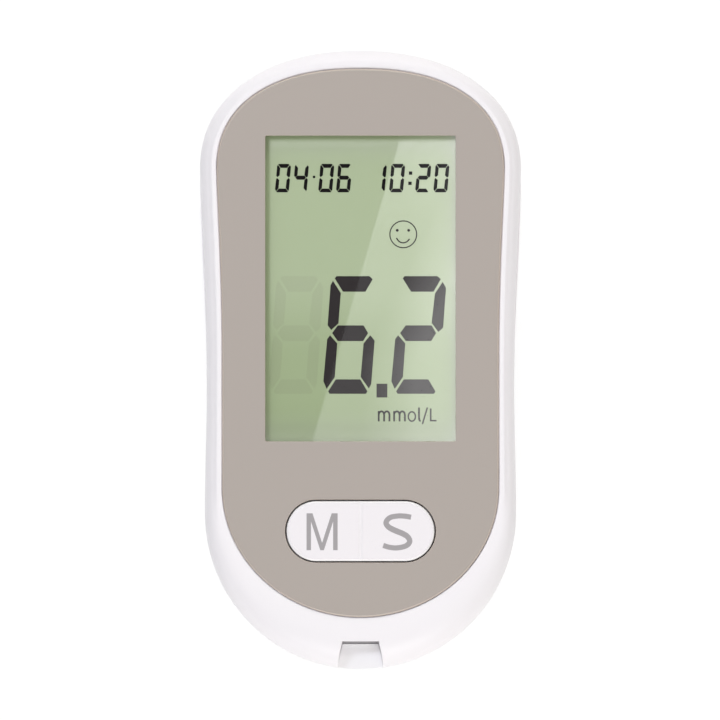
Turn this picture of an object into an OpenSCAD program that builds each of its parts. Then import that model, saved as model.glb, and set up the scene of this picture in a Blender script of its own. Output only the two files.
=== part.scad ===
// Hand-held blood glucose meter, lying on its back with the display facing up (+Z).
// The top of the display points along +Y and the test strip goes in at the -Y end.
// All sizes are in millimetres. The origin is the centre of the rear face.

/* [Body] */
// Length of the body from end to end
body_l = 95; // [92:0.5:98]
// Width of the body at its widest, beside the top of the display
body_w = 49.3; // [49:0.1:51]
// Width of the body at its waist
waist_w = 47.2; // [47:0.1:48]
// Width of the body at its rounded lower end
lower_w = 47.8; // [47.6:0.1:48.6]
// Height of the joint line between the rear and front housings
joint_z = 8.2; // [8.2:0.1:8.4]
// Height of the front rim that frames the panel
rim_z = 15.5; // [15.4:0.1:15.7]
// Side wall thickness of both housings
wall = 1.8; // [1.7:0.1:1.9]
// Thickness of the rear face
rear_wall = 1.6; // [1.5:0.1:1.7]

/* [Panel] */
// Width of the grey panel at its widest
panel_w = 44.1; // [43.8:0.1:44.3]
// Width of the grey panel at its waist and lower end
panel_waist_w = 42.4; // [42:0.1:42.6]
// Y of the panel's upper end
panel_top_y = 44.8; // [44.5:0.1:45]
// Y of the panel's lower end
panel_bottom_y = -39.4; // [-39.8:0.1:-39]
// Thickness of the grey panel
panel_t = 0.8; // [0.7:0.05:0.9]

/* [Display] */
// Width of the display opening in the panel
window_w = 29.2; // [28.6:0.1:29.6]
// Height of the display opening in the panel
window_h = 46.9; // [46:0.1:47.2]
// Y of the middle of the display
window_y = 11; // [10.8:0.1:11.2]
// Thickness of the clear display window
lens_t = 0.7; // [0.6:0.05:0.75]

/* [Key] */
// Length of the pill-shaped opening that the rocker key fills
key_opening_l = 23.2; // [23:0.1:23.6]
// Width of the pill-shaped opening
key_opening_w = 9.7; // [9.6:0.1:9.9]
// Y of the middle of the key
key_y = -26.2; // [-26.4:0.1:-26]
// Gap between the key and the panel
key_gap = 0.3; // [0.28:0.01:0.34]
// Radius of the key's pivot stubs
pivot_r = 0.6; // [0.55:0.05:0.65]

/* [Strip port] */
// Half width of the notch where the strip goes in
notch_inner = 2.8; // [2.78:0.01:2.95]
// Half width of the notch at the outer edge of the body
notch_outer = 3.45; // [3.4:0.01:3.6]
// Y of the notch's inner wall
notch_y = -43.4; // [-43.5:0.1:-43.2]
// Width of the slot for the test strip
slot_w = 6.1; // [6:0.05:6.3]
// Height of the slot for the test strip
slot_h = 1; // [0.9:0.05:1.1]

/* [Battery] */
// Y of the middle of the coin cell
cell_y = 25; // [24.8:0.1:25.2]
// Width of the sliding battery door
door_w = 25; // [24.8:0.1:25.2]
// Thickness of the battery door
door_t = 1.4; // [1.3:0.05:1.4]

/* [Board] */
// Thickness of the circuit board
board_t = 1; // [0.8:0.1:1]

/* [Hidden] */
$fn = 48;

// Outline counts: steps round each end and along each side.
cap_steps = 28;
side_steps = 8;
profile_steps = 7;

// Outlines hold the upper end's centre, half width, height and power, the waist's Y and half width,
// and the lower end's centre, half width, height and power.
upper_y = 29.2;
waist_y = -3.8;
lower_y = -23.5;
body_outline = [
    upper_y, body_w / 2, body_l / 2 - upper_y, 2.2,
    waist_y, waist_w / 2,
    lower_y, lower_w / 2, body_l / 2 + lower_y, 2
];
panel_lower_y = -19.6;
panel_outline = [
    upper_y, panel_w / 2, panel_top_y - upper_y, 2.4,
    0, panel_waist_w / 2,
    panel_lower_y, panel_waist_w / 2, panel_lower_y - panel_bottom_y, 2
];

// The housings' rounded edges follow a superellipse of this power.
edge_power = 2.8;
rear_power = 2.2;
rear_inset = 4;
joint_gap = 0.1;
land = 0.3;
pocket_gap = 0.1;
overlap = 0.3;

// Heights from the front face down.
panel_top_z = rim_z + 0.3;
panel_bottom_z = panel_top_z - panel_t;
adhesive_t = 0.1;
pocket_z = panel_bottom_z - adhesive_t;
front_inner_z = pocket_z - 1.6;
ledge_z = pocket_z - lens_t;
ledge_t = 0.5;
glass_top_z = ledge_z - ledge_t - 0.05;
glass_t = 0.7;

// Display stack sizes.
lens_margin = 1.6;
ledge_margin = 0.5;
polarizer_margin = 0.35;
lcd_w = window_w + 6.6;
lcd_h = window_h + 4.6;
contact_ledge = 2.2;
reflector_t = 0.2;
holder_wall = 1.4;
holder_gap = 0.1;
holder_corner = 3;

// Circuit board levels. The board lies between the housings, level with the joint line.
board_z = joint_z + 1;

// Rocker key levels: pivot axis, cap, flange and the legs that press the domes.
pivot_z = panel_top_z - 3.7;
key_top_z = panel_top_z + 0.3;
key_edge_r = 0.45;
key_groove_w = 1.2;
key_groove_d = 0.15;
flange_z = pivot_z - 0.3;
flange_t = 0.6;
flange_out = 1;
key_wall = 1.2;
leg_x = 6.5;
leg_r = 1.6;
dome_top_z = pivot_z + 0.1;
dome_travel = 0.25;
leg_gap = 0.08;
pivot_clearance = 0.06;
housing_key_gap = 0.5;
ear_t = 1.2;
ear_gap = 0.35;

// Strip port levels.
slot_z = board_z + 1.8;
port_half_w = 5.4;
port_wall_y = -42.2;
guide_gap = 0.08;

// Coin cell of a standard size, 20 mm across and 3.2 mm thick.
cell_r = 10;
cell_t = 3.2;
cell_wall = 0.25;
cell_cap_r = 8.7;

// Battery bay.
bay_x = door_w / 2 + 1.7;
bay_y = 9.8;
bay_mid_y = 36.6;
bay_end_y = 44.5;
bay_ceiling_z = 5.3;
bay_ceiling_t = 1;
bay_wall = 1.2;
door_y = 11.5;
door_gap = 0.15;
door_end_z = 4.6;
cell_z = door_t + 0.15;
cell_gap = 0.3;
rail_z = door_t + 0.15;
hook_y = 38;
hook_l = 3;
exit_z = 3.2;

// Screw places as X, Y and the height of the head's seat. The upper screw is inside the
// battery bay, so it shows only with the door off.
top_screw = [0, 40.6, 4.9];
housing_screws_at = [top_screw, [-14.5, -34.5, 3.4], [14.5, -34.5, 3.4]];
board_screws_at = [[-17.6, -18.8], [17.6, -18.8], [-12.5, 41.2], [12.5, 41.2]];
screw_r = 0.95;
screw_bore_r = 1;
boss_r = 2.2;
rear_boss_r = 2.8;
screw_tip_z = 12;

// Label on the rear face.
label_w = 30;
label_l = 22;
label_y = -14;
label_t = 0.12;

// ---------- Shape helpers ----------

function ease(s) = (1 - cos(180 * s)) / 2;
function mix(a, b, s) = a + (b - a) * s;
function curve(v, power) = sign(v) * pow(abs(v), 2 / power);

// Half width of an outline's side at height y.
function half_width(o, y) = y >= o[4]
    ? mix(o[1], o[5], ease((o[0] - y) / (o[0] - o[4])))
    : mix(o[5], o[7], ease((o[4] - y) / (o[4] - o[6])));

// Points round an outline, anticlockwise from the right: upper end, left side, lower end, right side.
function outline_points(o) = concat(
    [for (i = [0 : cap_steps]) let (t = 180 * i / cap_steps)
        [o[1] * curve(cos(t), o[3]), o[0] + o[2] * curve(sin(t), o[3])]],
    [for (i = [1 : side_steps - 1]) let (y = mix(o[0], o[6], i / side_steps))
        [-half_width(o, y), y]],
    [for (i = [0 : cap_steps]) let (t = 180 + 180 * i / cap_steps)
        [o[7] * curve(cos(t), o[9]), o[6] + o[8] * curve(sin(t), o[9])]],
    [for (i = [1 : side_steps - 1]) let (y = mix(o[6], o[0], i / side_steps))
        [half_width(o, y), y]]
);

// The same outline, smaller all round by d.
function inset(o, d) = [
    o[0], o[1] - d, o[2] - d, o[3], o[4], o[5] - d, o[6], o[7] - d, o[8] - d, o[9]
];

function between(p, q, u) = [for (i = [0 : len(p) - 1]) mix(p[i], q[i], u)];
function at_height(points, z) = [for (p = points) [p.x, p.y, z]];

// A closed solid through rings of equal length, lowest first. Its flat ends are cut into
// strips that join each point to its mirror point, because the waist makes them concave.
module loft(rings) {
    n = len(rings[0]);
    top = len(rings) - 1;
    middle = cap_steps / 2;
    walls = [for (j = [0 : top - 1], i = [0 : n - 1])
        let (a = j * n + i, b = j * n + (i + 1) % n)
        each [[a, a + n, b + n], [a, b + n, b]]];
    strips = [for (k = [0 : n / 2 - 1])
        let (l0 = (middle + k) % n, l1 = (middle + k + 1) % n)
        let (r0 = (middle - k + n) % n, r1 = (middle - k - 1 + n) % n)
        k == 0 ? [l0, r1, l1] : l1 == r1 ? [l0, r0, r1] : [l0, r0, r1, l1]];
    upper = [for (s = strips) [for (i = s) i + top * n]];
    lower = [for (s = strips) [for (i = [len(s) - 1 : -1 : 0]) s[i]]];
    polyhedron(points = [for (r = rings) each r], faces = concat(walls, lower, upper), convexity = 6);
}

// A flat plate with an outline's shape.
module plate(o, z, h) {
    translate([0, 0, z])
        linear_extrude(h)
            polygon(outline_points(o));
}

// A box given by its X half width, Y range and Z range.
module slab(half_x, y0, y1, z0, z1) {
    translate([-half_x, y0, z0])
        cube([2 * half_x, y1 - y0, z1 - z0]);
}

// A pill-shaped prism along X, centred on the key.
module pill(l, w, z0, z1) {
    translate([0, key_y, z0])
        linear_extrude(z1 - z0)
            union() {
                square([l - w, w], center = true);
                for (side = [-1, 1])
                    translate([side * (l - w) / 2, 0])
                        circle(d = w);
            }
}

module both_sides() {
    children();
    mirror([1, 0, 0])
        children();
}

module post(x, y, r, z0, z1) {
    translate([x, y, z0])
        cylinder(r = r, h = z1 - z0);
}

// ---------- Housing forms ----------

// Dome from the joint line at outline o to the land at z, the shape of the front of the meter.
module front_form(o, inner, z0, z1, steps) {
    outer_points = outline_points(o);
    inner_points = outline_points(inner);
    loft([for (i = [0 : steps]) let (t = 90 * (1 - i / steps))
        at_height(
            between(inner_points, outer_points, curve(sin(t), edge_power)),
            mix(z0, z1, curve(cos(t), edge_power)))]);
}

// Tray from the floor at z0 up to the joint line, the shape of the back of the meter.
module rear_form(d, z0, z1) {
    floor_points = outline_points(inset(body_outline, rear_inset + d / 2));
    rim_points = outline_points(inset(body_outline, d));
    loft(concat(
        [for (i = [0 : profile_steps]) let (t = 90 * i / profile_steps)
            at_height(
                between(floor_points, rim_points, curve(sin(t), rear_power)),
                mix(joint_z, z0, curve(cos(t), rear_power)))],
        z1 > joint_z ? [at_height(rim_points, z1)] : []));
}

module front_skin() {
    front_form(body_outline, inset(panel_outline, -land - pocket_gap), joint_z + joint_gap, rim_z,
        profile_steps);
}

module front_cavity() {
    front_form(inset(body_outline, wall), inset(panel_outline, land), joint_z - 0.2,
        front_inner_z, profile_steps - 2);
}

// ---------- Casing ----------

// The notch at the lower end, seen from above. Its sides flare quickly from the inner wall and
// then run nearly straight to the outer edge.
module notch(gap, y_in, z0, z1) {
    side = [for (i = [0 : 5]) let (s = i / 5)
        [mix(notch_inner, notch_outer, sin(90 * s)) - gap, mix(y_in, -body_l / 2, s)]];
    translate([0, 0, z0])
        linear_extrude(z1 - z0)
            polygon(concat(
                side,
                [[notch_outer - gap, -body_l / 2 - 1], [-notch_outer + gap, -body_l / 2 - 1]],
                [for (i = [5 : -1 : 0]) [-side[i].x, side[i].y]]));
}

// Bearing blocks that hang beside the key and hold its pivot stubs.
module pivot_ears() {
    flange_half = key_opening_w / 2 - key_gap + flange_out;
    for (side = [-1, 1])
        translate([0, key_y + side * (flange_half + ear_gap + ear_t / 2), 0])
            slab(1.6, -ear_t / 2, ear_t / 2, pivot_z - 1.3, front_inner_z + overlap);
}

module pivot_bores() {
    translate([0, key_y, pivot_z])
        rotate([90, 0, 0])
            cylinder(r = pivot_r + pivot_clearance, h = 18, center = true);
}

module front_housing() {
    color([0.96, 0.95, 0.96])
        difference() {
            union() {
                difference() {
                    front_skin();
                    front_cavity();
                }
                intersection() {
                    front_skin();
                    slab(port_half_w, -body_l / 2 - 1, port_wall_y, joint_z + joint_gap, rim_z);
                }
                pivot_ears();
                front_bosses();
            }
            plate(inset(panel_outline, -pocket_gap), pocket_z, 2);
            display_cuts();
            pill(key_opening_l - 2 * key_gap + 2 * housing_key_gap,
                key_opening_w - 2 * key_gap + 2 * housing_key_gap, front_inner_z - 1, pocket_z + 1);
            notch(0, notch_y, joint_z - 1, rim_z + 1);
            slab(slot_w / 2, notch_y - 1, port_wall_y + 1, joint_z - 1, slot_z + slot_h);
            plate(inset(body_outline, 1), joint_z - 0.5, 1.7);
            pivot_bores();
            front_boss_bores();
        }
}

// Window pocket from above, display opening, and the pocket for the glass from below.
module display_cuts() {
    translate([0, window_y, 0]) {
        slab(window_w / 2 + lens_margin, -window_h / 2 - lens_margin, window_h / 2 + lens_margin,
            ledge_z, pocket_z + 1);
        slab(window_w / 2 + ledge_margin, -window_h / 2 - ledge_margin, window_h / 2 + ledge_margin,
            front_inner_z - 1, pocket_z + 1);
        slab(lcd_w / 2 + 0.2, -lcd_h / 2 - 0.2, lcd_h / 2 + 0.2, front_inner_z - 1,
            ledge_z - ledge_t);
    }
}

module front_bosses() {
    for (p = housing_screws_at)
        post(p.x, p.y, boss_r, joint_z + joint_gap, front_inner_z + overlap);
    for (p = board_screws_at)
        post(p.x, p.y, 1.8, board_z, front_inner_z + overlap);
}

module front_boss_bores() {
    for (p = housing_screws_at)
        post(p.x, p.y, screw_bore_r, joint_z - 1, screw_tip_z + 0.5);
    for (p = board_screws_at)
        post(p.x, p.y, screw_bore_r - 0.15, board_z - 1, screw_tip_z + 0.8);
}

module rear_housing() {
    color([0.95, 0.94, 0.95])
        difference() {
            union() {
                difference() {
                    rear_form(0, 0, joint_z);
                    rear_form(wall, rear_wall, joint_z + 1);
                    slab(door_w / 2 + door_gap, door_y - door_gap, body_l, -1, door_end_z + door_gap);
                }
                difference() {
                    plate(inset(body_outline, 1.1), joint_z - 1.2, 2.2);
                    plate(inset(body_outline, wall), joint_z - 1.3, 2.4);
                    slab(port_half_w + 0.2, -body_l, port_wall_y + 1, joint_z, joint_z + 2);
                }
                battery_bay();
                for (p = housing_screws_at)
                    post(p.x, p.y, rear_boss_r, p == top_screw ? exit_z : rear_wall - overlap, joint_z);
            }
            post(0, cell_y, cell_r + cell_gap, -1, bay_ceiling_z);
            slab(4.9, bay_y, door_y, 0.75, rail_z);
            contact_slots();
            for (p = housing_screws_at) {
                post(p.x, p.y, 1.9, -1, p.z);
                post(p.x, p.y, 1.1, 0, joint_z + 2);
            }
            translate([0, label_y, 0])
                slab(label_w / 2 + 0.15, -label_l / 2 - 0.15, label_l / 2 + 0.15, -1, label_t + 0.03);
        }
}

// Walled bay over the battery door, with a round cup for the coin cell. Beyond the cup, what
// reaches down beside the door's end wall is trimmed to the inside of that wall.
module battery_bay() {
    top = bay_ceiling_z + bay_ceiling_t;
    difference() {
        union() {
            slab(bay_x, bay_y, bay_mid_y, rear_wall - 0.05, top);
            intersection() {
                rear_form(door_t + 0.5, door_t, joint_z);
                union() {
                    slab(bay_x, bay_mid_y - 0.1, bay_end_y, exit_z, top);
                    both_sides()
                        cube_from([bay_x - 2.2, bay_mid_y - 0.1, rail_z], [bay_x, 42, exit_z - 0.9]);
                }
            }
            intersection() {
                rear_form(0.5, 0, joint_z);
                slab(bay_x, bay_mid_y - 0.1, body_l, door_end_z + door_gap, top);
            }
        }
        difference() {
            slab(bay_x - bay_wall, bay_y + bay_wall, bay_mid_y - bay_wall, rail_z + bay_wall, 7);
            post(0, cell_y, cell_r + cell_gap + bay_wall, 0, 8);
        }
        slab(10, bay_mid_y, bay_end_y - bay_wall, exit_z + bay_wall, 7);
    }
}

module cube_from(low, high) {
    translate(low)
        cube(high - low);
}

// ---------- Battery door ----------

module battery_door() {
    color([0.94, 0.93, 0.94])
        difference() {
            union() {
                difference() {
                    intersection() {
                        rear_form(0, 0, joint_z);
                        slab(door_w / 2, door_y, body_l, -1, door_end_z);
                    }
                    rear_form(door_t, door_t, joint_z + 1);
                }
                slab(4.5, door_y - 1.6, door_y + 0.5, 0.9, door_t);
                both_sides()
                    door_hook();
            }
            for (i = [0 : 4])
                slab(6 - 0.9 * i, 15 + 1.4 * i, 15.6 + 1.4 * i, -1, 0.35);
        }
}

// L-shaped hook that rides over the rail beside the bay.
module door_hook() {
    cube_from([10.6, hook_y, door_t - 0.2], [11.7, hook_y + hook_l, exit_z - 0.15]);
    cube_from([10.6, hook_y, exit_z - 0.75], [12.3, hook_y + hook_l, exit_z - 0.15]);
}

// ---------- Front panel and window ----------

module front_panel() {
    round_r = 0.4;
    points = outline_points(panel_outline);
    inner = outline_points(inset(panel_outline, round_r));
    color([0.71, 0.67, 0.64])
        difference() {
            loft(concat(
                [at_height(points, panel_bottom_z)],
                [for (i = [0 : 3]) let (t = 30 * i)
                    at_height(between(inner, points, cos(t)),
                        panel_top_z - round_r + round_r * sin(t))]));
            translate([0, window_y, 0])
                slab(window_w / 2, -window_h / 2, window_h / 2, 0, 20);
            pill(key_opening_l, key_opening_w, 10, 20);
        }
}

module panel_adhesive() {
    margin = 0.6;
    color([0.25, 0.25, 0.26])
        difference() {
            plate(inset(panel_outline, margin), pocket_z, adhesive_t);
            translate([0, window_y, 0])
                slab(window_w / 2 + margin, -window_h / 2 - margin, window_h / 2 + margin, 0, 20);
            pill(key_opening_l + 2 * margin, key_opening_w + 2 * margin, 10, 20);
        }
}

module display_window() {
    fit = lens_margin - 0.1;
    color([0.93, 0.96, 0.95, 0.35])
        translate([0, window_y, 0])
            slab(window_w / 2 + fit, -window_h / 2 - fit, window_h / 2 + fit, ledge_z, pocket_z);
}

// ---------- Rocker key ----------

// Half of the key's cross-section, from the middle out, flat with a rounded upper rim.
function key_section(r) = concat(
    [[0, pivot_z], [0, key_top_z]],
    [for (i = [0 : 4]) let (t = 90 - 22.5 * i)
        [r - key_edge_r + key_edge_r * cos(t), key_top_z - key_edge_r + key_edge_r * sin(t)]],
    [[r, pivot_z]]
);

module rocker_key() {
    cap_l = key_opening_l - 2 * key_gap;
    cap_w = key_opening_w - 2 * key_gap;
    straight = cap_l - cap_w;
    section = key_section(cap_w / 2);
    color([0.95, 0.94, 0.96])
        difference() {
            union() {
                translate([0, key_y, 0])
                    for (side = [-1, 1]) {
                        translate([side * straight / 2, 0, 0])
                            rotate([0, 0, -90 * side])
                                rotate_extrude(angle = 180)
                                    polygon(section);
                        rotate([0, 0, 90])
                            rotate([90, 0, 0])
                                linear_extrude(straight, center = true)
                                    polygon([for (p = section) [side * p.x, p.y]]);
                    }
                pill(cap_l, cap_w, flange_z + flange_t / 2, pivot_z + 0.2);
                pill(cap_l + 2 * flange_out, cap_w + 2 * flange_out, flange_z, flange_z + flange_t);
            }
            difference() {
                pill(cap_l - 2 * key_wall, cap_w - 2 * key_wall, flange_z - 1, key_top_z - key_wall);
                key_legs();
                slab(0.5, key_y - 5, key_y + 5, flange_z, key_top_z);
            }
            translate([0, key_y, key_top_z])
                rotate([90, 0, 0])
                    linear_extrude(cap_w + 2, center = true)
                        polygon([
                            [0, -key_groove_d], [key_groove_w, key_groove_d], [-key_groove_w, key_groove_d]
                        ]);
        }
    color([0.95, 0.94, 0.96])
        pivot_stubs(cap_w / 2 + flange_out);
}

module key_legs() {
    both_sides()
        post(leg_x, key_y, leg_r, dome_top_z + leg_gap, key_top_z - 1);
}

// Round stubs at the flange's two long edges, on the axis that the key rocks about.
module pivot_stubs(flange_half) {
    reach = ear_gap + ear_t + 0.3;
    for (side = [-1, 1])
        translate([0, key_y + side * (flange_half + reach / 2 - 0.1), pivot_z])
            rotate([90, 0, 0])
                cylinder(r = pivot_r, h = reach + 0.2, center = true);
}

// Silicone pad with two hollow domes that carry the key and spring it back. A plunger under
// each dome's top holds a carbon pill just above its contacts on the board.
pad_t = 0.7;
pill_t = 0.45;
pill_z = board_z + 0.05 + dome_travel;

module key_dome_pad() {
    color([0.86, 0.87, 0.88])
        difference() {
            union() {
                slab(12.6, key_y - 5.4, key_y + 5.4, board_z, board_z + pad_t);
                both_sides()
                    translate([leg_x, key_y, 0])
                        rotate_extrude()
                            polygon([
                                [0, board_z], [3.4, board_z], [3.4, board_z + pad_t],
                                [2, dome_top_z - 0.9], [2, dome_top_z], [0, dome_top_z]
                            ]);
            }
            both_sides()
                translate([leg_x, key_y, 0])
                    rotate_extrude()
                        polygon([
                            [0, board_z - 1], [2.9, board_z - 1], [2.9, board_z + pad_t],
                            [1.9, dome_top_z - 1.3], [1.4, dome_top_z - 1.3],
                            [1.4, pill_z + pill_t], [0, pill_z + pill_t]
                        ]);
        }
}

module key_carbon_pills() {
    color([0.13, 0.13, 0.14])
        both_sides()
            post(leg_x, key_y, 1.3, pill_z, pill_z + pill_t);
}

module key_contact_pads() {
    color([0.83, 0.68, 0.35])
        both_sides()
            difference() {
                post(leg_x, key_y, 2.3, board_z, board_z + 0.05);
                slab(0.15 + leg_x, key_y - 0.12, key_y + 0.12, 0, 20);
            }
}

// ---------- Display ----------

module lcd_plate(half_x, half_y, z, t) {
    translate([0, window_y, 0])
        slab(half_x, -half_y, half_y, z, z + t);
}

module lcd_front_polarizer() {
    color([0.72, 0.78, 0.66, 0.6])
        lcd_plate(window_w / 2 + polarizer_margin, window_h / 2 + polarizer_margin, glass_top_z, 0.25);
}

module lcd_front_glass() {
    color([0.75, 0.82, 0.72, 0.5])
        lcd_plate(lcd_w / 2, lcd_h / 2, glass_top_z - glass_t, glass_t);
}

module lcd_rear_glass() {
    color([0.7, 0.78, 0.68, 0.5])
        lcd_plate(lcd_w / 2 - contact_ledge, lcd_h / 2, glass_top_z - 2 * glass_t, glass_t);
}

module lcd_reflector() {
    color([0.71, 0.76, 0.65])
        lcd_plate(lcd_w / 2 - contact_ledge - 0.4, lcd_h / 2 - 0.4,
            glass_top_z - 2 * glass_t - reflector_t, reflector_t);
}

// Frame that stands on the board and locates the glass and the rubber contact strips.
module lcd_holder() {
    half_x = lcd_w / 2 + holder_gap + holder_wall;
    half_y = lcd_h / 2 + holder_gap + holder_wall;
    shelf_z = glass_top_z - 2 * glass_t - reflector_t;
    color([0.9, 0.9, 0.88])
        translate([0, window_y, 0])
            difference() {
                translate([0, 0, board_z])
                    linear_extrude(front_inner_z - 0.1 - board_z)
                        union() {
                            square([2 * half_x, 2 * (half_y - holder_corner)], center = true);
                            square([2 * (half_x - holder_corner), 2 * half_y], center = true);
                            for (sx = [-1, 1], sy = [-1, 1])
                                translate([sx * (half_x - holder_corner), sy * (half_y - holder_corner)])
                                    circle(r = holder_corner);
                        }
                slab(lcd_w / 2 + holder_gap, -lcd_h / 2 - holder_gap, lcd_h / 2 + holder_gap,
                    shelf_z, 20);
                slab(lcd_w / 2 - contact_ledge - 1.4, -lcd_h / 2 + 2, lcd_h / 2 - 2, 0, 20);
                both_sides()
                    cube_from([lcd_w / 2 - 2, -lcd_h / 2 + 2.4, 0], [lcd_w / 2 - 0.2, lcd_h / 2 - 2.4, 20]);
            }
}

module lcd_zebra_strips() {
    color([0.85, 0.55, 0.6])
        both_sides()
            translate([0, window_y, 0])
                cube_from([lcd_w / 2 - 1.9, -lcd_h / 2 + 2.5, board_z],
                    [lcd_w / 2 - 0.3, lcd_h / 2 - 2.5, glass_top_z - glass_t]);
}

// ---------- Circuit board ----------

module main_board() {
    color([0.1, 0.36, 0.2])
        difference() {
            plate(inset(body_outline, 2.7), board_z - board_t, board_t);
            slab(30, -body_l, -42, 0, 20);
            for (p = housing_screws_at)
                post(p.x, p.y, 3.2, 0, 20);
            for (p = board_screws_at)
                post(p.x, p.y, 1.1, 0, 20);
        }
}

// A pan-head screw pointing up, with a cross recess, its head's seat at z.
module screw(x, y, z, head_r, head_h, r, l) {
    translate([x, y, z])
        difference() {
            union() {
                cylinder(r = r, h = l);
                translate([0, 0, -head_h])
                    cylinder(r = head_r, h = head_h);
            }
            for (a = [0, 90])
                rotate([0, 0, a])
                    translate([0, 0, -head_h])
                        cube([1.2 * head_r, 0.4, 1.2], center = true);
        }
}

module board_screws() {
    color([0.75, 0.76, 0.78])
        for (p = board_screws_at)
            screw(p.x, p.y, board_z - board_t, 1.6, 0.9, 0.8, screw_tip_z + 0.5 - board_z + board_t);
}

module housing_screws() {
    color([0.75, 0.76, 0.78])
        for (p = housing_screws_at)
            screw(p.x, p.y, p.z, 1.75, 1.4, screw_r, screw_tip_z - p.z);
}

// A chip on the board's upper face (up = 1) or lower face (up = -1), with rows of leads.
module chip(x, y, w, l, h, leads, up) {
    face_z = up > 0 ? board_z : board_z - board_t;
    translate([x, y, face_z])
        mirror([0, 0, up > 0 ? 0 : 1]) {
            translate([-w / 2, -l / 2, 0.1])
                cube([w, l, h - 0.1]);
            both_sides()
                for (i = [0 : leads - 1])
                    translate([w / 2 - 0.05, (i - (leads - 1) / 2) * l / leads - 0.15, 0])
                        cube([0.9, 0.3, 0.4]);
        }
}

module microcontroller() {
    color([0.12, 0.12, 0.13])
        chip(0, 6, 10, 10, 1.4, 12, 1);
}

module analogue_chip() {
    color([0.12, 0.12, 0.13])
        chip(-8, -10, 4, 5, 1.2, 4, 1);
}

module memory_chip() {
    color([0.12, 0.12, 0.13])
        chip(8, -10, 4, 5, 1.2, 4, 1);
}

module clock_crystal() {
    color([0.78, 0.79, 0.8])
        translate([10, 14, board_z + 1])
            rotate([90, 0, 0])
                cylinder(r = 1, h = 6);
}

module buzzer() {
    color([0.1, 0.1, 0.1])
        difference() {
            slab(4.5, -9, 0, board_z - board_t - 1.6, board_z - board_t);
            translate([2.6, -2, 0])
                cylinder(r = 0.6, h = board_z - board_t - 1);
        }
}

// Small surface-mounted parts, one block at each place.
module small_parts(places, w, l, h) {
    for (p = places)
        translate([p.x - w / 2, p.y - l / 2, board_z])
            cube([w, l, h]);
}

module board_capacitors() {
    color([0.72, 0.6, 0.44])
        small_parts([for (i = [0 : 5]) [-8 + 3.2 * i, 17]], 0.8, 1.6, 0.8);
}

module board_resistors() {
    color([0.15, 0.15, 0.16])
        small_parts([for (i = [0 : 7]) [-9 + 2.6 * i, -4]], 0.8, 1.6, 0.5);
}

module thermistor() {
    color([0.2, 0.2, 0.22])
        small_parts([[-8.5, -38]], 1, 2, 0.8);
}

// ---------- Strip port ----------

module strip_connector() {
    color([0.93, 0.93, 0.9])
        difference() {
            slab(5.2, -41.9, -34, board_z, slot_z + slot_h + 0.9);
            slab(slot_w / 2, -43, -35.2, slot_z - 0.05, slot_z + slot_h - 0.15);
            for (i = [-2 : 2])
                translate([1.05 * i, 0, 0]) {
                    slab(0.35, -40.5, -33, slot_z + 0.3, 20);
                    slab(0.35, -34.6, -33, board_z - 1, 20);
                }
        }
}

module strip_contacts() {
    color([0.85, 0.7, 0.38])
        for (i = [-2 : 2])
            translate([1.05 * i, 0, 0]) {
                slab(0.22, -40.2, -34.2, slot_z + slot_h + 0.2, slot_z + slot_h + 0.4);
                slab(0.22, -34.4, -34.1, board_z, slot_z + slot_h + 0.4);
                slab(0.22, -34.4, -33.4, board_z, board_z + 0.2);
                slab(0.22, -39, -38, slot_z + 0.5, slot_z + slot_h + 0.3);
            }
}

// Ramp on the notch's floor that leads the strip up into the slot.
module strip_guide() {
    ramp_l = 5.1;
    drop = 1;
    color([0.91, 0.91, 0.92])
        union() {
            intersection() {
                front_skin();
                notch(guide_gap, notch_y - 0.05, joint_z + joint_gap, slot_z);
                rotate([90, 0, 90])
                    linear_extrude(20, center = true)
                        polygon(concat(
                            [[notch_y, joint_z], [notch_y, slot_z]],
                            [for (i = [0 : 8]) let (s = i / 8)
                                [notch_y - 0.2 - ramp_l * s, slot_z - drop * s * s]],
                            [[notch_y - 0.2 - ramp_l, joint_z]]));
            }
            slab(slot_w / 2 - guide_gap, notch_y - 0.2, port_wall_y + 0.2, joint_z + 1.3, slot_z);
        }
}

// ---------- Coin cell and its contacts ----------

module coin_cell_can() {
    color([0.8, 0.81, 0.82])
        translate([0, cell_y, cell_z])
            difference() {
                cylinder(r = cell_r, h = cell_t - 0.25);
                translate([0, 0, cell_wall])
                    cylinder(r = cell_r - cell_wall, h = cell_t);
            }
}

module coin_cell_gasket() {
    color([0.2, 0.2, 0.2])
        translate([0, cell_y, cell_z + cell_wall])
            difference() {
                cylinder(r = cell_r - cell_wall, h = cell_t - 2 * cell_wall);
                translate([0, 0, -1])
                    cylinder(r = cell_cap_r, h = cell_t + 1);
            }
}

module coin_cell_cap() {
    color([0.77, 0.78, 0.8])
        translate([0, cell_y, cell_z + cell_wall])
            cylinder(r = cell_cap_r, h = cell_t - cell_wall);
}

minus_slot_x = -4;
plus_slot_y = cell_y - cell_r - 0.1;

// Slots through the bay's ceiling that let the contacts reach the board.
module contact_slots() {
    translate([minus_slot_x, 0, 0])
        slab(1.8, cell_y + 2, cell_y + 2.6, bay_ceiling_z - 1, 8);
    slab(2.2, plus_slot_y - 0.35, plus_slot_y + 0.3, cell_z, 8);
}

module battery_minus_contact() {
    cell_top = cell_z + cell_t;
    color([0.8, 0.79, 0.74])
        union() {
            translate([minus_slot_x, 0, 0])
                slab(1.5, cell_y - 6, cell_y + 2.4, cell_top, cell_top + 0.2);
            translate([minus_slot_x, 0, 0])
                slab(1.5, cell_y + 2.2, cell_y + 2.4, cell_top, board_z - board_t);
        }
}

module battery_plus_contact() {
    color([0.8, 0.79, 0.74])
        slab(1.9, plus_slot_y - 0.2, plus_slot_y, cell_z + 0.3, board_z - board_t);
}

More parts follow.
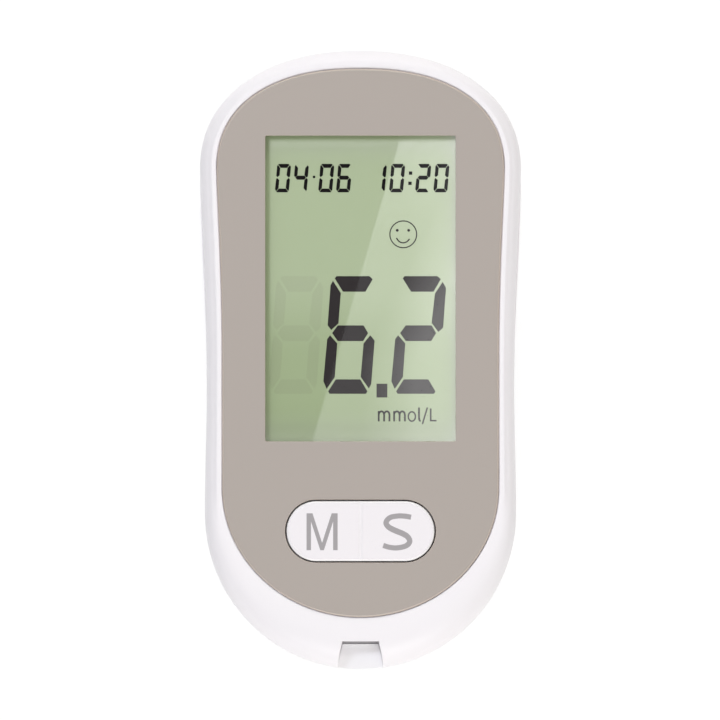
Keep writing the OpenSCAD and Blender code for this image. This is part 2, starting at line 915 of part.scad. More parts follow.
module rear_label() {
    color([0.9, 0.9, 0.89])
        translate([0, label_y, 0])
            slab(label_w / 2, -label_l / 2, label_l / 2, 0.03, label_t + 0.03);
}

front_housing();
rear_housing();
front_panel();
panel_adhesive();
display_window();
rocker_key();
key_dome_pad();
key_carbon_pills();
key_contact_pads();
lcd_front_polarizer();
lcd_front_glass();
lcd_rear_glass();
lcd_reflector();
lcd_holder();
lcd_zebra_strips();
main_board();
board_screws();
microcontroller();
analogue_chip();
memory_chip();
clock_crystal();
buzzer();
board_capacitors();
board_resistors();
thermistor();
strip_connector();
strip_contacts();
strip_guide();
battery_door();
coin_cell_can();
coin_cell_gasket();
coin_cell_cap();
battery_plus_contact();
battery_minus_contact();
housing_screws();
rear_label();
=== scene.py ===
# %% [markdown]
# # A blood glucose meter dressed over its CAD frame
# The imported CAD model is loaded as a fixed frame. It says where every part of the meter is and
# which parts move. Each visible part then gets a finer surface or a better finish, and nothing
# changes place. All sizes below are in millimetres, as on a maker's drawing.

# %% Load the frame
import math

import bmesh
import bpy
import numpy as np
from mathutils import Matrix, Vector
from mathutils.bvhtree import BVHTree
from mathutils.geometry import delaunay_2d_cdt


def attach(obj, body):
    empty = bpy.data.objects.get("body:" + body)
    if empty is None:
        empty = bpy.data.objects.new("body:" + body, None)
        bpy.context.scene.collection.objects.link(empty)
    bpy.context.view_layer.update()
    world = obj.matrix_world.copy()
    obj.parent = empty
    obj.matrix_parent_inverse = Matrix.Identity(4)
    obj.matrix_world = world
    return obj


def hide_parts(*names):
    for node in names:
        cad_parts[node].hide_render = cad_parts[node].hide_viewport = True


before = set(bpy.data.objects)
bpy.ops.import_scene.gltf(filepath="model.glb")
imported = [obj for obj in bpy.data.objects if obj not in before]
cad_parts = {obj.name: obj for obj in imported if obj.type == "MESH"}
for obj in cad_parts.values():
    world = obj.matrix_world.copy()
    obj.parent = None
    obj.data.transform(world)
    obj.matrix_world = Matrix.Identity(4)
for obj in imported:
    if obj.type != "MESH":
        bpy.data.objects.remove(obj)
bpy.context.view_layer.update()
MM = 0.001

# %% [markdown]
# ## Sizes of the meter
# A moulded housing is drawn from a few named sizes. The body's outline has a wide round upper
# end, a slight waist and a narrower round lower end. Each outline is kept as ten numbers: where
# the upper end starts, its half width, height and squareness, where the waist is and its half
# width, and the same four numbers for the lower end.

# %% Named sizes
BODY = np.array([29.2, 24.65, 18.3, 2.2, -3.8, 23.6, -23.5, 23.9, 24.0, 2])
PANEL = np.array([29.2, 22.05, 15.5, 2.3, 0, 21.2, -19.6, 21.2, 19.8, 2])
BODY_END = 47.5
JOINT_Z, SEAM = 8.2, 0.1
RIM_Z, RIM_FOOT_Z, POCKET_Z, PANEL_BASE_Z, PANEL_Z = 15.5, 15.3, 14.9, 15.0, 15.8
LAND, POCKET_GAP = 0.3, 0.1
EDGE_POWER, REAR_POWER, EDGE_REACH, REAR_INSET = 2.8, 2.2, 4.0, 3.6
WINDOW_W, WINDOW_H, WINDOW_Y = 29.2, 46.9, 11.0
LENS_W, LENS_H, LENS_BASE_Z = 32.2, 49.9, 14.2
KEY_Y, OPENING_L, OPENING_W, KEY_GAP, KEY_TOP = -26.2, 23.13, 9.63, 0.22, 16.1
NOTCH_Y, NOTCH_INNER, NOTCH_OUTER = -43.4, 2.8, 3.45
SLOT_CEILING, SLOT_FLOOR, MOUTH_Z = 12.0, 11.0, 10.3
DOOR_W, DOOR_Y, DOOR_END, DOOR_GAP = 25.0, 11.5, 4.6, 0.15
SCREW_X, SCREW_Y, SCREW_HOLE_R = 14.5, -34.5, 1.9
LABEL_Y, LABEL_HALF_W, LABEL_HALF_L = -14.0, 15.15, 11.15
print("body", 2 * BODY[1], "x", BODY[0] + BODY[2] - BODY[6] + BODY[8])

# %% [markdown]
# ## Outline curves
# The ends are superellipses, the family of curves between an ellipse and a rectangle, because a
# moulded shell rarely has a plain circular end. The sides ease between three widths. A numpy
# array holds a whole outline, so no loop over points is needed.

# %% Outline functions
def curve(v, power):
    """sign(v) times |v| to the power 2 / power: a cosine or sine bent into a superellipse."""
    return np.sign(v) * np.abs(v) ** (2 / power)


def ease(s):
    """(1 - cos(pi s)) / 2: goes from 0 to 1 and is level at both ends."""
    return (1 - np.cos(np.pi * s)) / 2


def half_width(o, y):
    """Half width at height y: eased from upper end to waist, sooner than half way, and to the lower end."""
    upper = o[1] + (o[5] - o[1]) * ease(np.clip((o[0] - y) / (o[0] - o[4]), 0, 1) ** 0.68)
    lower = o[5] + (o[7] - o[5]) * ease((o[4] - y) / (o[4] - o[6]))
    return np.where(y >= o[4], upper, lower)


def inset(o, d):
    """The same outline, smaller all round by d: widths and end heights less d."""
    return o - d * np.array([0, 1, 1, 0, 0, 1, 0, 1, 1, 0])


def half_outline(o, steps=400):
    """Right half of an outline from its lowest to its highest point: x = a cos'(t), y = b sin'(t) on the ends."""
    t = np.radians(np.linspace(0, 90, steps))
    y = np.linspace(o[6], o[0], steps)[1:-1]
    low = np.stack([o[7] * curve(np.cos(t), o[9]), o[6] - o[8] * curve(np.sin(t), o[9])], 1)[::-1]
    high = np.stack([o[1] * curve(np.cos(t), o[3]), o[0] + o[2] * curve(np.sin(t), o[3])], 1)
    path = np.vstack([low, np.stack([half_width(o, y), y], 1), high])
    path[[0, -1], 0] = 0
    return path


# %% [markdown]
# Neighbouring surfaces need points in the same places, and even spacing shades best. So an
# outline is drawn first with many points, then a few are spaced evenly by length on a stretch of
# it. An edge's profile is spaced the same way, so its tight part gets as many rows as it needs.

# %% Even spacing
def along(path, count, first=0.0, last=None):
    """count points spaced evenly by length on a path, between two of its fractional indices."""
    index = np.arange(len(path))
    length = np.concatenate([[0], np.cumsum(np.linalg.norm(np.diff(path, axis=0), axis=1))])
    ends = np.interp([first, index[-1] if last is None else last], index, length)
    places = np.linspace(*ends, count)
    return np.stack([np.interp(places, length, path[:, k]) for k in range(path.shape[1])], 1)


def crossing(values):
    """Fractional index where a row of numbers first changes sign, by straight interpolation."""
    i = int(np.argmax(values[1:] * values[:-1] <= 0))
    return i + values[i] / (values[i] - values[i + 1])


def drop(u, power):
    """Height left on a superellipse edge at outward share u: (1 - u^n)^(1/n)."""
    return (1 - np.clip(u, 0, 1) ** power) ** (1 / power)


def edge_rows(power, count, reach, height, extra=()):
    """Shares u from 0 to 1 spaced evenly by length on the edge's profile, with extra ones put in."""
    t = np.radians(np.linspace(0, 90, 3000))
    u = curve(np.sin(t), power)
    path = np.stack([u * reach, curve(np.cos(t), power) * height, u], 1)
    length = np.concatenate([[0], np.cumsum(np.hypot(*np.diff(path[:, :2], axis=0).T))])
    rows = np.interp(np.linspace(0, length[-1], count), length, u)
    extra = np.array(list(extra))
    keep = rows if not len(extra) else rows[np.abs(rows[:, None] - extra).min(1) > 0.004]
    return np.unique(np.concatenate([keep, extra, [0.0, 1.0]]))


print("body half outline", half_outline(BODY).shape)

# %% [markdown]
# ## From arrays to surfaces
# A mesh is points and faces. Most surfaces here are grids, a row of points for each step, so one
# helper makes the quads of a grid. Others mirror a surface and lift an outline to a height.

# %% Grids
def grid(points, flip=False):
    """A rows x columns array of points as (points, quads), facing along column step x row step."""
    rows, cols = points.shape[:2]
    k = np.arange(rows * cols).reshape(rows, cols)
    quads = np.stack([k[:-1, :-1], k[:-1, 1:], k[1:, 1:], k[1:, :-1]], -1).reshape(-1, 4)
    return points.reshape(-1, 3), quads[:, ::-1] if flip else quads


def mirrored(part):
    """The same surface on the other side of x = 0, its faces turned round so they still face out."""
    points, faces = part
    return points * [-1, 1, 1], faces[:, ::-1]


def at(loop, z):
    """A flat outline lifted to height z."""
    loop = np.asarray(loop)
    return np.column_stack([loop[:, :2], np.broadcast_to(z, len(loop))])


# %% [markdown]
# A flat face with holes can't be a grid, so a Delaunay triangulation fills it, and the triangles
# in the holes are dropped.

# %% Flat faces
def inside(points, loop):
    """True for the points inside a closed loop: an odd number of its edges lies to their right."""
    a, b = loop, np.roll(loop, -1, 0)
    x, y = points[:, :1], points[:, 1:]
    spans = (a[:, 1] > y) != (b[:, 1] > y)
    height = np.where(b[:, 1] == a[:, 1], 1, b[:, 1] - a[:, 1])
    return ((spans & (x < a[:, 0] + (y - a[:, 1]) / height * (b[:, 0] - a[:, 0]))).sum(1) % 2) == 1


def flat(outer, holes, z, up=True):
    """Triangles that fill an outline but not its holes, facing up or down."""
    loops = [np.asarray(loop)[:, :2] for loop in [outer, *holes]]
    sizes = [len(loop) for loop in loops]
    edges = [(s + i, s + (i + 1) % n) for s, n in zip(np.cumsum([0] + sizes), sizes) for i in range(n)]
    found = delaunay_2d_cdt([Vector(p) for p in np.vstack(loops)], edges, [], 0, 1e-5)
    points, faces = np.array([tuple(p) for p in found[0]]), np.array([list(f) for f in found[2]])
    middle = points[faces].mean(1)
    keep = inside(middle, loops[0])
    for hole in loops[1:]:
        keep &= ~inside(middle, hole)
    faces = faces[keep]
    a, b, c = (points[faces[:, k]] for k in range(3))
    turn = np.cross(b - a, c - a) > 0
    faces = np.where((turn == up)[:, None], faces, faces[:, ::-1])
    return at(points, z), faces


# %% [markdown]
# A moulded or cut plate is never quite sharp. Its walls are copies of the outline, and the upper
# ones step inward round a quarter circle, which catches a line of light.

# %% Plates with rounded rims
ROUND_STEPS = 5


def offset(loop, d):
    """A closed anticlockwise loop moved inward by d, along the mean of its two edge normals."""
    before, after = loop - np.roll(loop, 1, 0), np.roll(loop, -1, 0) - loop
    normals = [np.stack([-e[:, 1], e[:, 0]], 1) / np.linalg.norm(e, axis=1)[:, None] for e in (before, after)]
    mean = normals[0] + normals[1]
    return loop + d * mean / np.maximum((mean * normals[0]).sum(1), 0.3)[:, None]


def wall(loop, rows, flip=False):
    """A closed wall through copies of a loop: rows are (inward offset, height) from bottom to top."""
    rings = np.stack([at(offset(loop, d) if d else loop, z) for d, z in rows])
    return grid(np.concatenate([rings, rings[:, :1]], 1), flip)


def plate(outer, holes, z0, z1, r=0.0, hole_r=0.0):
    """A flat solid with a quarter-round of radius r on its upper rim and hole_r on its holes' rims."""
    def rows(radius, sign):
        t = np.radians(np.linspace(0, 90, ROUND_STEPS)) if radius else np.array([])
        return [(0, z0), (0, z1 - radius)] + [
            (sign * radius * (1 - math.cos(a)), z1 - radius + radius * math.sin(a)) for a in t[1:]]
    parts = [wall(outer, rows(r, 1))] + [wall(h, rows(hole_r, -1), flip=True) for h in holes]
    parts.append(flat(offset(outer, r) if r else outer,
                      [offset(h, -hole_r) if hole_r else h for h in holes], z1))
    return parts + [flat(outer, holes, z0, up=False)]


# %% [markdown]
# A piece is one mesh object made of all its surfaces, with their shared edges welded. It says what body it rides on,
# which finish it wears and which CAD nodes it replaces.

# %% Pieces
def welded(parts):
    """Joins surfaces into one draft mesh and welds the points that they share."""
    faces, start = [], 0
    for points, quads in parts:
        faces += (np.asarray(quads) + start).tolist()
        start += len(points)
    draft = bpy.data.meshes.new("draft")
    draft.from_pydata((np.concatenate([p for p, _ in parts]) * MM).tolist(), [], faces)
    work = bmesh.new()
    work.from_mesh(draft)
    bmesh.ops.remove_doubles(work, verts=work.verts, dist=0.002 * MM)
    bmesh.ops.dissolve_degenerate(work, edges=work.edges, dist=0.0005 * MM)
    work.to_mesh(draft)
    work.free()
    return draft


def piece(name, parts, body, finish, nodes=(), kept=()):
    """Makes one smooth-shaded object of a skin and the kept CAD faces, riding on a body.

    The two are welded apart, because a point that they shared would bend the shading."""
    work = bmesh.new()
    for group in (parts, kept):
        if len(group):
            draft = welded(group)
            work.from_mesh(draft)
            bpy.data.meshes.remove(draft)
    mesh = bpy.data.meshes.new(name)
    work.to_mesh(mesh)
    work.free()
    mesh.shade_smooth()
    mesh.set_sharp_from_angle(angle=math.radians(35))
    made = bpy.data.objects.new(name, mesh)
    bpy.context.scene.collection.objects.link(made)
    mesh.materials.append(finish)
    steady = made.modifiers.new("steady_normals", "WEIGHTED_NORMAL")
    steady.keep_sharp = True
    steady.weight = 80
    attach(made, body)
    if nodes:
        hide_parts(*nodes)
    print(f"{name}: {len(mesh.vertices)} points, {len(mesh.polygons)} faces")
    return made


# %% [markdown]
# A housing has many small forms inside, such as ribs and screw posts, which the CAD solid already
# has. So a dressed part keeps those: the solid's triangles are copied, and the ones that the new
# smooth skin covers are left out. A tree of the skin's faces finds the nearest one to each.

# %% Keep what a new skin doesn't cover
def uncovered(node, skin, reach=0.3, drop_if=None):
    """The CAD node's triangles, less those within reach of the skin and facing as it does."""
    starts = np.cumsum([0] + [len(points) for points, _ in skin])
    tree = BVHTree.FromPolygons(np.concatenate([points for points, _ in skin]).tolist(),
                                [f for start, part in zip(starts, skin) for f in (part[1] + start).tolist()])
    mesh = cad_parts[node].data
    mesh.calc_loop_triangles()
    points, faces = np.empty(len(mesh.vertices) * 3), np.empty(len(mesh.loop_triangles) * 3, int)
    mesh.vertices.foreach_get("co", points)
    mesh.loop_triangles.foreach_get("vertices", faces)
    points, faces = points.reshape(-1, 3) / MM, faces.reshape(-1, 3)
    a, b, c = (points[faces[:, k]] for k in range(3))
    normals = np.cross(b - a, c - a)
    normals /= np.maximum(np.linalg.norm(normals, axis=1), 1e-12)[:, None]
    middle = (a + b + c) / 3
    near = [tree.find_nearest(m.tolist()) for m in middle]
    covered = np.array([n[3] < reach and abs(Vector(v).dot(n[1])) > 0.75
                        for n, v in zip(near, normals.tolist())])
    if drop_if is not None:
        covered |= drop_if(middle, normals)
    print(f"{node}: {int((~covered).sum())} of {len(faces)} triangles kept inside")
    used, index = np.unique(faces[~covered], return_inverse=True)
    return points[used], index.reshape(-1, 3)


# %% [markdown]
# ## Finishes
# Every finish starts from the real material and how its surface was made. Colours are written as
# sRGB hex values, as a colour chart gives them, and turned to linear light by one function. One
# helper adds a shader node with its settings and links.

# %% Colour and node helpers
CLOUD_MM = 14


def linear(hex_value):
    """sRGB hex to linear: c / 12.92 below 0.04045, else ((c + 0.055) / 1.055) to the power 2.4."""
    c = np.array([int(hex_value[i:i + 2], 16) for i in (1, 3, 5)]) / 255
    return (*np.where(c <= 0.04045, c / 12.92, ((c + 0.055) / 1.055) ** 2.4).tolist(), 1.0)


def add(tree, kind, feeds=None, **settings):
    """Adds a shader node: settings name its options or sockets, feeds give sockets a link, a node or a value."""
    made = tree.nodes.new("ShaderNode" + kind)
    for key, value in settings.items():
        if hasattr(made, key):
            setattr(made, key, value)
        else:
            made.inputs[key.replace("_", " ")].default_value = value
    for socket, source in (feeds or {}).items():
        source = getattr(source, "outputs", [source])[0]
        if isinstance(source, bpy.types.NodeSocket):
            tree.links.new(source, made.inputs[socket])
        else:
            made.inputs[socket].default_value = source
    return made


def new_finish(name):
    """An empty node material and its tree."""
    made = bpy.data.materials.new(name)
    made.use_nodes = True
    made.node_tree.nodes.clear()
    return made, made.node_tree


def moulded(name, colour, rough=0.45, grain_mm=0.25, depth_mm=0.004, tone=0.02, vary=0.06,
            metallic=0.0, ior=1.5, second=None, streak=(1, 1, 1), edge=None, wall=None, **own):
    """A plain solid finish: fine grain of a real size as bump, with slight changes of tone and gloss.

    edge is a painted highlight that rounded rims turn to, and wall a painted shade that upright walls turn to, by how
    far the face looks up."""
    made, tree = new_finish(name)
    place = add(tree, "Mapping", {"Vector": add(tree, "TexCoord").outputs["Object"]}, Scale=streak)
    grain = add(tree, "TexNoise", {"Vector": place}, Scale=1 / (grain_mm * MM), Detail=2.0)
    cloud = add(tree, "TexNoise", {"Vector": place}, Scale=1 / (CLOUD_MM * MM), Detail=3.0)
    base = linear(colour)
    dark = linear(second) if second else tuple(v * (1 - tone) for v in base[:3]) + (1.0,)
    tint = add(tree, "Mix", {0: cloud, 6: dark, 7: base}, data_type="RGBA")
    # Painted highlight on rounded rims and painted shade on upright walls, mixed in by how far the face looks up.
    for shade, near, far in [(edge, 0.97, 0.8), (wall, 0.35, 0.15)]:
        if shade:
            way = add(tree, "SeparateXYZ", {"Vector": add(tree, "NewGeometry").outputs["Normal"]})
            level = add(tree, "MapRange", {"Value": way.outputs["Z"], "From Min": near, "From Max": far})
            tint = add(tree, "Mix", {0: level, 6: tint.outputs[2], 7: linear(shade)}, data_type="RGBA")
    look = {"Base Color": tint.outputs[2], "Roughness": rough, "Metallic": metallic}
    if vary:
        look["Roughness"] = add(tree, "MapRange", {"Value": grain, "To Min": rough - vary, "To Max": rough + vary})
    if depth_mm:
        look["Normal"] = add(tree, "Bump", {"Height": grain}, Distance=depth_mm * MM, Strength=1.0)
    if not metallic:
        look["IOR"] = ior
    add(tree, "OutputMaterial", {"Surface": add(tree, "BsdfPrincipled", look, **own)})
    return made


print("white in linear light", linear("#f6f3f6"))

# %% [markdown]
# Most CAD parts inside the meter keep their shape and only get the finish of their real material.
# One call makes a finish and gives it to all the parts that are made that way.

# %% Finishes for CAD parts
dressed = set()


def dress(nodes, name, colour, rough, grain_mm, depth_mm, **own):
    """Makes a finish and puts it on the named CAD parts, in place of their plain colour."""
    finish = moulded(name, colour, rough, grain_mm, depth_mm, **own)
    for node in nodes.split():
        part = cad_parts[node]
        if not part.material_slots:
            part.data.materials.append(finish)
        for place in part.material_slots:
            place.material = finish
        dressed.add(node)


# %% [markdown]
# The shell is injection-moulded ABS. Its mould was spark-eroded, which leaves a satin grain of
# about a tenth of a millimetre. It is drawn a little coarser here so that it shows in the render.
# The key comes from a polished mould, so its grain is finer and its gloss is higher. Its rounded rim is painted
# whiter, a painted highlight. The panel is acrylic sheet: its rounded rims are painted paler, a painted highlight, and
# its upright walls browner, a painted shade for the dark gaps round the panel, the window and the key.

# %% Plastics
abs_white = moulded("abs_spark_eroded_white", "#f6f3f6", 0.42, 0.22, 0.003)
abs_guide = moulded("abs_fine_moulded_white", "#f7f6f8", 0.4, 0.3, 0.002)
# edge paints a highlight on the key's rounded rim.
abs_key = moulded("abs_polished_key_white", "#f3eff2", 0.3, 0.3, 0.001, edge="#fdfcfd")
# edge paints a highlight on the panel's rounded rims, wall paints shade on its upright walls.
acrylic_grey = moulded("acrylic_painted_warm_grey", "#b1a8a1", 0.36, 0.5, 0.0006, tone=0.015, vary=0.03,
                       ior=1.49, edge="#c6baaf", wall="#9a8073")
# Grey for the sheet that paints shade into the slot.
slot_shade_grey = moulded("grey_painted_slot_shade", "#aeacaf", 0.5, 0.2, 0.004, tone=0.1)
legend_grey = moulded("pad_printed_ink_grey", "#a7a3a5", 0.5, 0.2, 0.001)
dress("lcd_holder", "nylon_glass_filled_cream", "#e2dfd6", 0.55, 0.4, 0.01)
dress("panel_adhesive", "polyester_tape_dark_grey", "#4a4846", 0.7, 0.3, 0.002)
dress("microcontroller analogue_chip memory_chip", "epoxy_moulded_black", "#232324", 0.55, 0.12, 0.006, tone=0.2)
dress("buzzer strip_connector", "polyamide_moulded_black", "#1c1c1d", 0.45, 0.2, 0.005, tone=0.2)
dress("rear_label", "polyester_film_label_white", "#eae9e5", 0.6, 0.35, 0.002)

# %% [markdown]
# Rubber parts are pressed from sheet: soft, without gloss, and slightly uneven. The silicone pad
# is milky because light goes a little way into it. The display's contact strips are layers of
# carbon-filled and plain rubber, and the grain is stretched to show them.

# %% Rubbers
dress("key_dome_pad", "silicone_pressed_milky", "#d3d5d6", 0.5, 0.6, 0.004,
      Subsurface_Weight=0.3, Subsurface_Scale=0.001)
dress("key_carbon_pills", "rubber_carbon_filled_black", "#1a1a1a", 0.75, 0.15, 0.01, tone=0.2)
dress("coin_cell_gasket", "nylon_gasket_black", "#1d1d1e", 0.5, 0.2, 0.003, tone=0.2)
dress("lcd_zebra_strips", "rubber_layered_rose", "#c98a90", 0.65, 0.2, 0.003,
      second="#8c3b45", streak=(0.05, 12, 0.05))

# %% [markdown]
# Metal parts are stamped or plated. A metal keeps the default IOR, and its look comes from the
# colour of its mirror. Fine drawing lines on the springs stretch the grain along one direction.

# %% Metals, ceramics and the board
METAL = {"metallic": 1.0}
dress("battery_minus_contact battery_plus_contact", "steel_spring_nickel_plated", "#c9c5ba", 0.3, 0.2, 0.002,
      streak=(1, 0.15, 1), **METAL)
dress("coin_cell_can coin_cell_cap", "steel_cell_nickel_plated", "#cfcfd0", 0.27, 0.25, 0.0004,
      tone=0.01, vary=0.02, **METAL)
dress("board_screws housing_screws", "steel_screw_zinc_plated", "#bdbdc0", 0.34, 0.15, 0.001, **METAL)
dress("clock_crystal", "steel_drawn_can", "#c4c4c6", 0.3, 0.2, 0.003, **METAL)
dress("key_contact_pads strip_contacts", "gold_plate_over_nickel", "#e3c06a", 0.28, 0.2, 0.002, **METAL)
dress("board_capacitors", "ceramic_fired_tan", "#b08d68", 0.5, 0.12, 0.005, tone=0.12)
dress("board_resistors thermistor", "glaze_resistor_black", "#222221", 0.35, 0.12, 0.004, tone=0.2)
dress("main_board", "fibreglass_green_solder_mask", "#1e6b3c", 0.3, 0.4, 0.006, second="#175530", vary=0.08)

# %% [markdown]
# ## The display's layers
# A reflective liquid crystal display is a stack: a polarizing film, two thin glass plates with the
# segments between them, and a green-grey film behind. Light falls in, is blocked where a segment
# is on, and comes back from the film. Light that crosses many clear faces is cut off early, so
# only the window is drawn clear. Its outer faces mirror as much as Fresnel's law says. The front
# film carries the colour of the whole stack, and the segments lie right on it, so they cast no
# shadow. The small segments look blacker than the large ones.

# %% Glass, film and segment finishes
lens_clear, tree = new_finish("acrylic_polished_clear")
through = add(tree, "BsdfTransparent", Color=linear("#ffffff"))
mirror = add(tree, "BsdfGlossy", Roughness=0.01)
outer = add(tree, "Math", {0: 1.0, 1: add(tree, "NewGeometry").outputs["Backfacing"]}, operation="SUBTRACT")
part = add(tree, "Math", {0: add(tree, "Fresnel", IOR=1.49), 1: outer}, operation="MULTIPLY")
mix = add(tree, "MixShader", {0: part, 1: through, 2: mirror})
add(tree, "OutputMaterial", {"Surface": mix})
SMOOTH = {"tone": 0.01, "vary": 0.0, "ior": 1.9}
INK = {"tone": 0.06, "ior": 1.15}
lcd_ghost = moulded("lcd_segment_off", "#aab894", 0.006, 0.3, 0.0, **SMOOTH)
lcd_ink = moulded("lcd_segment_dark", "#383435", 0.6, 0.3, 0.0, **INK)
lcd_fine_ink = moulded("lcd_fine_segment_black", "#1b1919", 0.6, 0.3, 0.0, **INK)
dress("lcd_front_polarizer", "polarizer_film_over_reflector_green", "#afbf98", 0.006, 0.3, 0.0, **SMOOTH)
dress("lcd_front_glass lcd_rear_glass", "float_glass_over_green", "#a4b396", 0.12, 0.5, 0.0004, vary=0.02)
dress("lcd_reflector", "reflector_film_silver_green", "#a9b59a", 0.35, 0.3, 0.001)
print("finishes", len(bpy.data.materials))

# %% [markdown]
# ## Front housing
# The front is one white moulding. Its edge falls from the rim round the grey panel to the joint
# line in a superellipse, so the side looks full. At the lower end a notch for the test strip cuts
# into it. A boolean cut would leave untidy shading along the notch, so the skin is laid out round
# it: rings of the edge stop at the notch's flank, a small patch closes the chin above it, and a
# rounded lip turns down into the notch's walls. First come the formulas that say where the skin
# is.

# %% Where the skin is
LIP, END_LIP, INNER_R = 0.35, 0.06, 0.12
inner_ring = half_outline(inset(PANEL, -LAND - POCKET_GAP))
outer_ring = half_outline(BODY)
low_p, low_b = inset(PANEL, -LAND - POCKET_GAP)[6:9], BODY[6:9]


def front_z(u):
    """Height of the front skin at outward share u of its edge."""
    return JOINT_Z + SEAM + (RIM_Z - JOINT_Z - SEAM) * drop(u, EDGE_POWER)


def crease(u, y):
    """How far the sides dip below that: 0 up to share 0.18, 0.4 mm at 0.42, and back to 0 at the joint line."""
    dip = np.interp(u, [0, 0.18, 0.24, 0.42, 0.7, 1], [0, 0, 0.07, 0.4, 0.36, 0])
    return dip * ease(np.clip((y + 26) / 8, 0, 1)) * ease(np.clip((42.5 - y) / 7, 0, 1))


def chin_share(x, y):
    """Outward share u of the ring through a chin point, where (x/a)^2 + ((y-c)/b)^2 = 1, by halving."""
    lo, hi = np.zeros(np.broadcast(x, y).shape), np.ones(np.broadcast(x, y).shape)
    for _ in range(36):
        u = (lo + hi) / 2
        c, a, b = (p + (q - p) * u for p, q in zip(low_p, low_b))
        outside = (x / a) ** 2 + ((y - c) / b) ** 2 > 1
        lo, hi = np.where(outside, u, lo), np.where(outside, hi, u)
    return (lo + hi) / 2


def chin_y(x, u):
    """Lower y of the ring with share u at x, on the lower end's ellipse."""
    c, a, b = (p + (q - p) * u for p, q in zip(low_p, low_b))
    return c - b * np.sqrt(1 - (x / a) ** 2)


def notch_half(y):
    """Half width of the notch at y: eased from the inner wall's to the mouth's by a quarter sine."""
    s = np.clip((NOTCH_Y - y) / (BODY_END + NOTCH_Y), 0, 1)
    return NOTCH_INNER + (NOTCH_OUTER - NOTCH_INNER) * np.sin(np.pi / 2 * s)


def flank_lip(u):
    """Lip radius on the notch's flank at share u: 0.35 mm, easing to almost nothing at the joint line."""
    return LIP * np.clip((front_z(u) - JOINT_Z - SEAM) / 2.2, 0.02, 1)


# %% [markdown]
# The skin is a stack of rings, from the joint line up to the rim and down its inner side. Rows lie
# close together where the crease bends, and one ring goes exactly through the notch's corner.
# The chin's rows bend from the notch's straight end to the panel's round edge.

# %% Front skin round the notch
COLS, CHIN_COLS = 180, 33
corner = np.array([NOTCH_INNER + LIP, NOTCH_Y + LIP])
u_corner = float(chin_share(*corner))
knee_shares = [0.14, 0.18, 0.2, 0.22, 0.24, 0.27, 0.31, 0.36, 0.42]
shares = edge_rows(EDGE_POWER, 34, EDGE_REACH, RIM_Z - JOINT_Z - SEAM, [u_corner] + knee_shares)[::-1]
lip_t = np.radians(np.linspace(0, 90, 5))
inner_rows = [(POCKET_GAP + INNER_R * (1 - math.sin(t)), RIM_Z - INNER_R * (1 - math.cos(t))) for t in lip_t]
inner_rows += [(POCKET_GAP, RIM_FOOT_Z), (0.005, RIM_FOOT_Z - 0.03)]
rings, chin = [], []
x_chin = corner[0] * np.sin(np.pi / 2 * np.linspace(-1, 1, CHIN_COLS))
for u in shares:
    path = inner_ring + (outer_ring - inner_ring) * u
    flank = notch_half(path[:, 1]) + flank_lip(u) if u > u_corner else corner[0]
    row = along(path, COLS, crossing(path[:, 0] - flank))
    rings.append(at(row, front_z(u) - crease(u, row[:, 1])))
    if u <= u_corner:
        level = (u / u_corner) ** 1.5
        y = chin_y(x_chin, u) * (1 - level) + row[0, 1] * level
        chin.append(np.column_stack([x_chin, y, front_z(chin_share(x_chin, y))]))
for grow, z in inner_rows:
    path = half_outline(inset(PANEL, -grow))
    row = along(path, COLS, crossing(path[:, 0] - corner[0]))
    rings.append(at(row, z))
    o = inset(PANEL, -grow)
    chin.append(at(np.column_stack([x_chin, o[6] - o[8] * np.sqrt(1 - (x_chin / o[7]) ** 2)]), z))
rings, chin = np.array(rings), np.array(chin)
first = len(rings) - len(chin)
chin[:, -1], chin[:, 0] = rings[first:, 0], rings[first:, 0] * [-1, 1, 1]
print("notch corner at share", round(u_corner, 3), "rings", rings.shape, "chin", chin.shape)

# %% [markdown]
# Along the notch, the skin turns down over a small round lip into an upright wall. The same
# function serves its two flanks, where the lip fades out at the joint line, and its inner end,
# where the wall stops at the slot's ceiling.

# %% Lip and walls of the notch
def lip_and_wall(edge, foot, floor_z, lip):
    """Rows from a skin edge over a rounded lip, a quadratic Bezier curve, and down a wall to floor_z."""
    knee = np.column_stack([foot, front_z(chin_share(foot[:, 0], foot[:, 1]))])
    low = knee.copy()
    low[:, 2] = np.maximum(knee[:, 2] - lip, floor_z)
    s = np.linspace(0, 1, 6)[:, None, None]
    rows = (1 - s) ** 2 * edge + 2 * s * (1 - s) * knee + s ** 2 * low
    return np.concatenate([rows, low + (at(low, floor_z) - low) * s[1:]])


flank_edge = rings[:first + 1, 0]
end_y = corner[1] - END_LIP
flank_foot = np.column_stack([notch_half(flank_edge[:, 1]), np.minimum(flank_edge[:, 1], end_y)])
flank_radius = flank_lip(np.concatenate([shares, np.zeros(len(rings) - len(shares))])[:first + 1])
flank = lip_and_wall(flank_edge, flank_foot, JOINT_Z + SEAM, flank_radius)
end_foot = np.column_stack([x_chin * NOTCH_INNER / corner[0], np.full(len(x_chin), end_y)])
end_lip = END_LIP + (LIP - END_LIP) * np.clip(1 - (corner[0] - np.abs(x_chin)) / 0.5, 0, 1)
end = lip_and_wall(chin[0], end_foot, SLOT_CEILING, end_lip)
ceiling = np.stack([end[-1], end[-1] + [0, 1.2, 0]])
right = grid(rings)
flank_part, end_part = grid(flank, flip=True), grid(np.concatenate([end, ceiling[1:]]), flip=True)
front_skin = [right, mirrored(right), grid(chin), flank_part, mirrored(flank_part), end_part]


def notch_faces(middle, normals):
    """CAD faces that the notch's new walls stand for: upright ones inside the notch."""
    x, y, z = middle.T
    upright = (np.abs(normals[:, 2]) < 0.3) & (z > JOINT_Z) & (y < NOTCH_Y + 0.05)
    return (np.abs(x) < 3.6) & (upright | ((y < NOTCH_Y + 0.5) & (z > SLOT_CEILING + 0.1)))


piece("front_shell", front_skin, "casing", abs_white, ["front_housing"],
      kept=[uncovered("front_housing", front_skin, 0.5, notch_faces)])
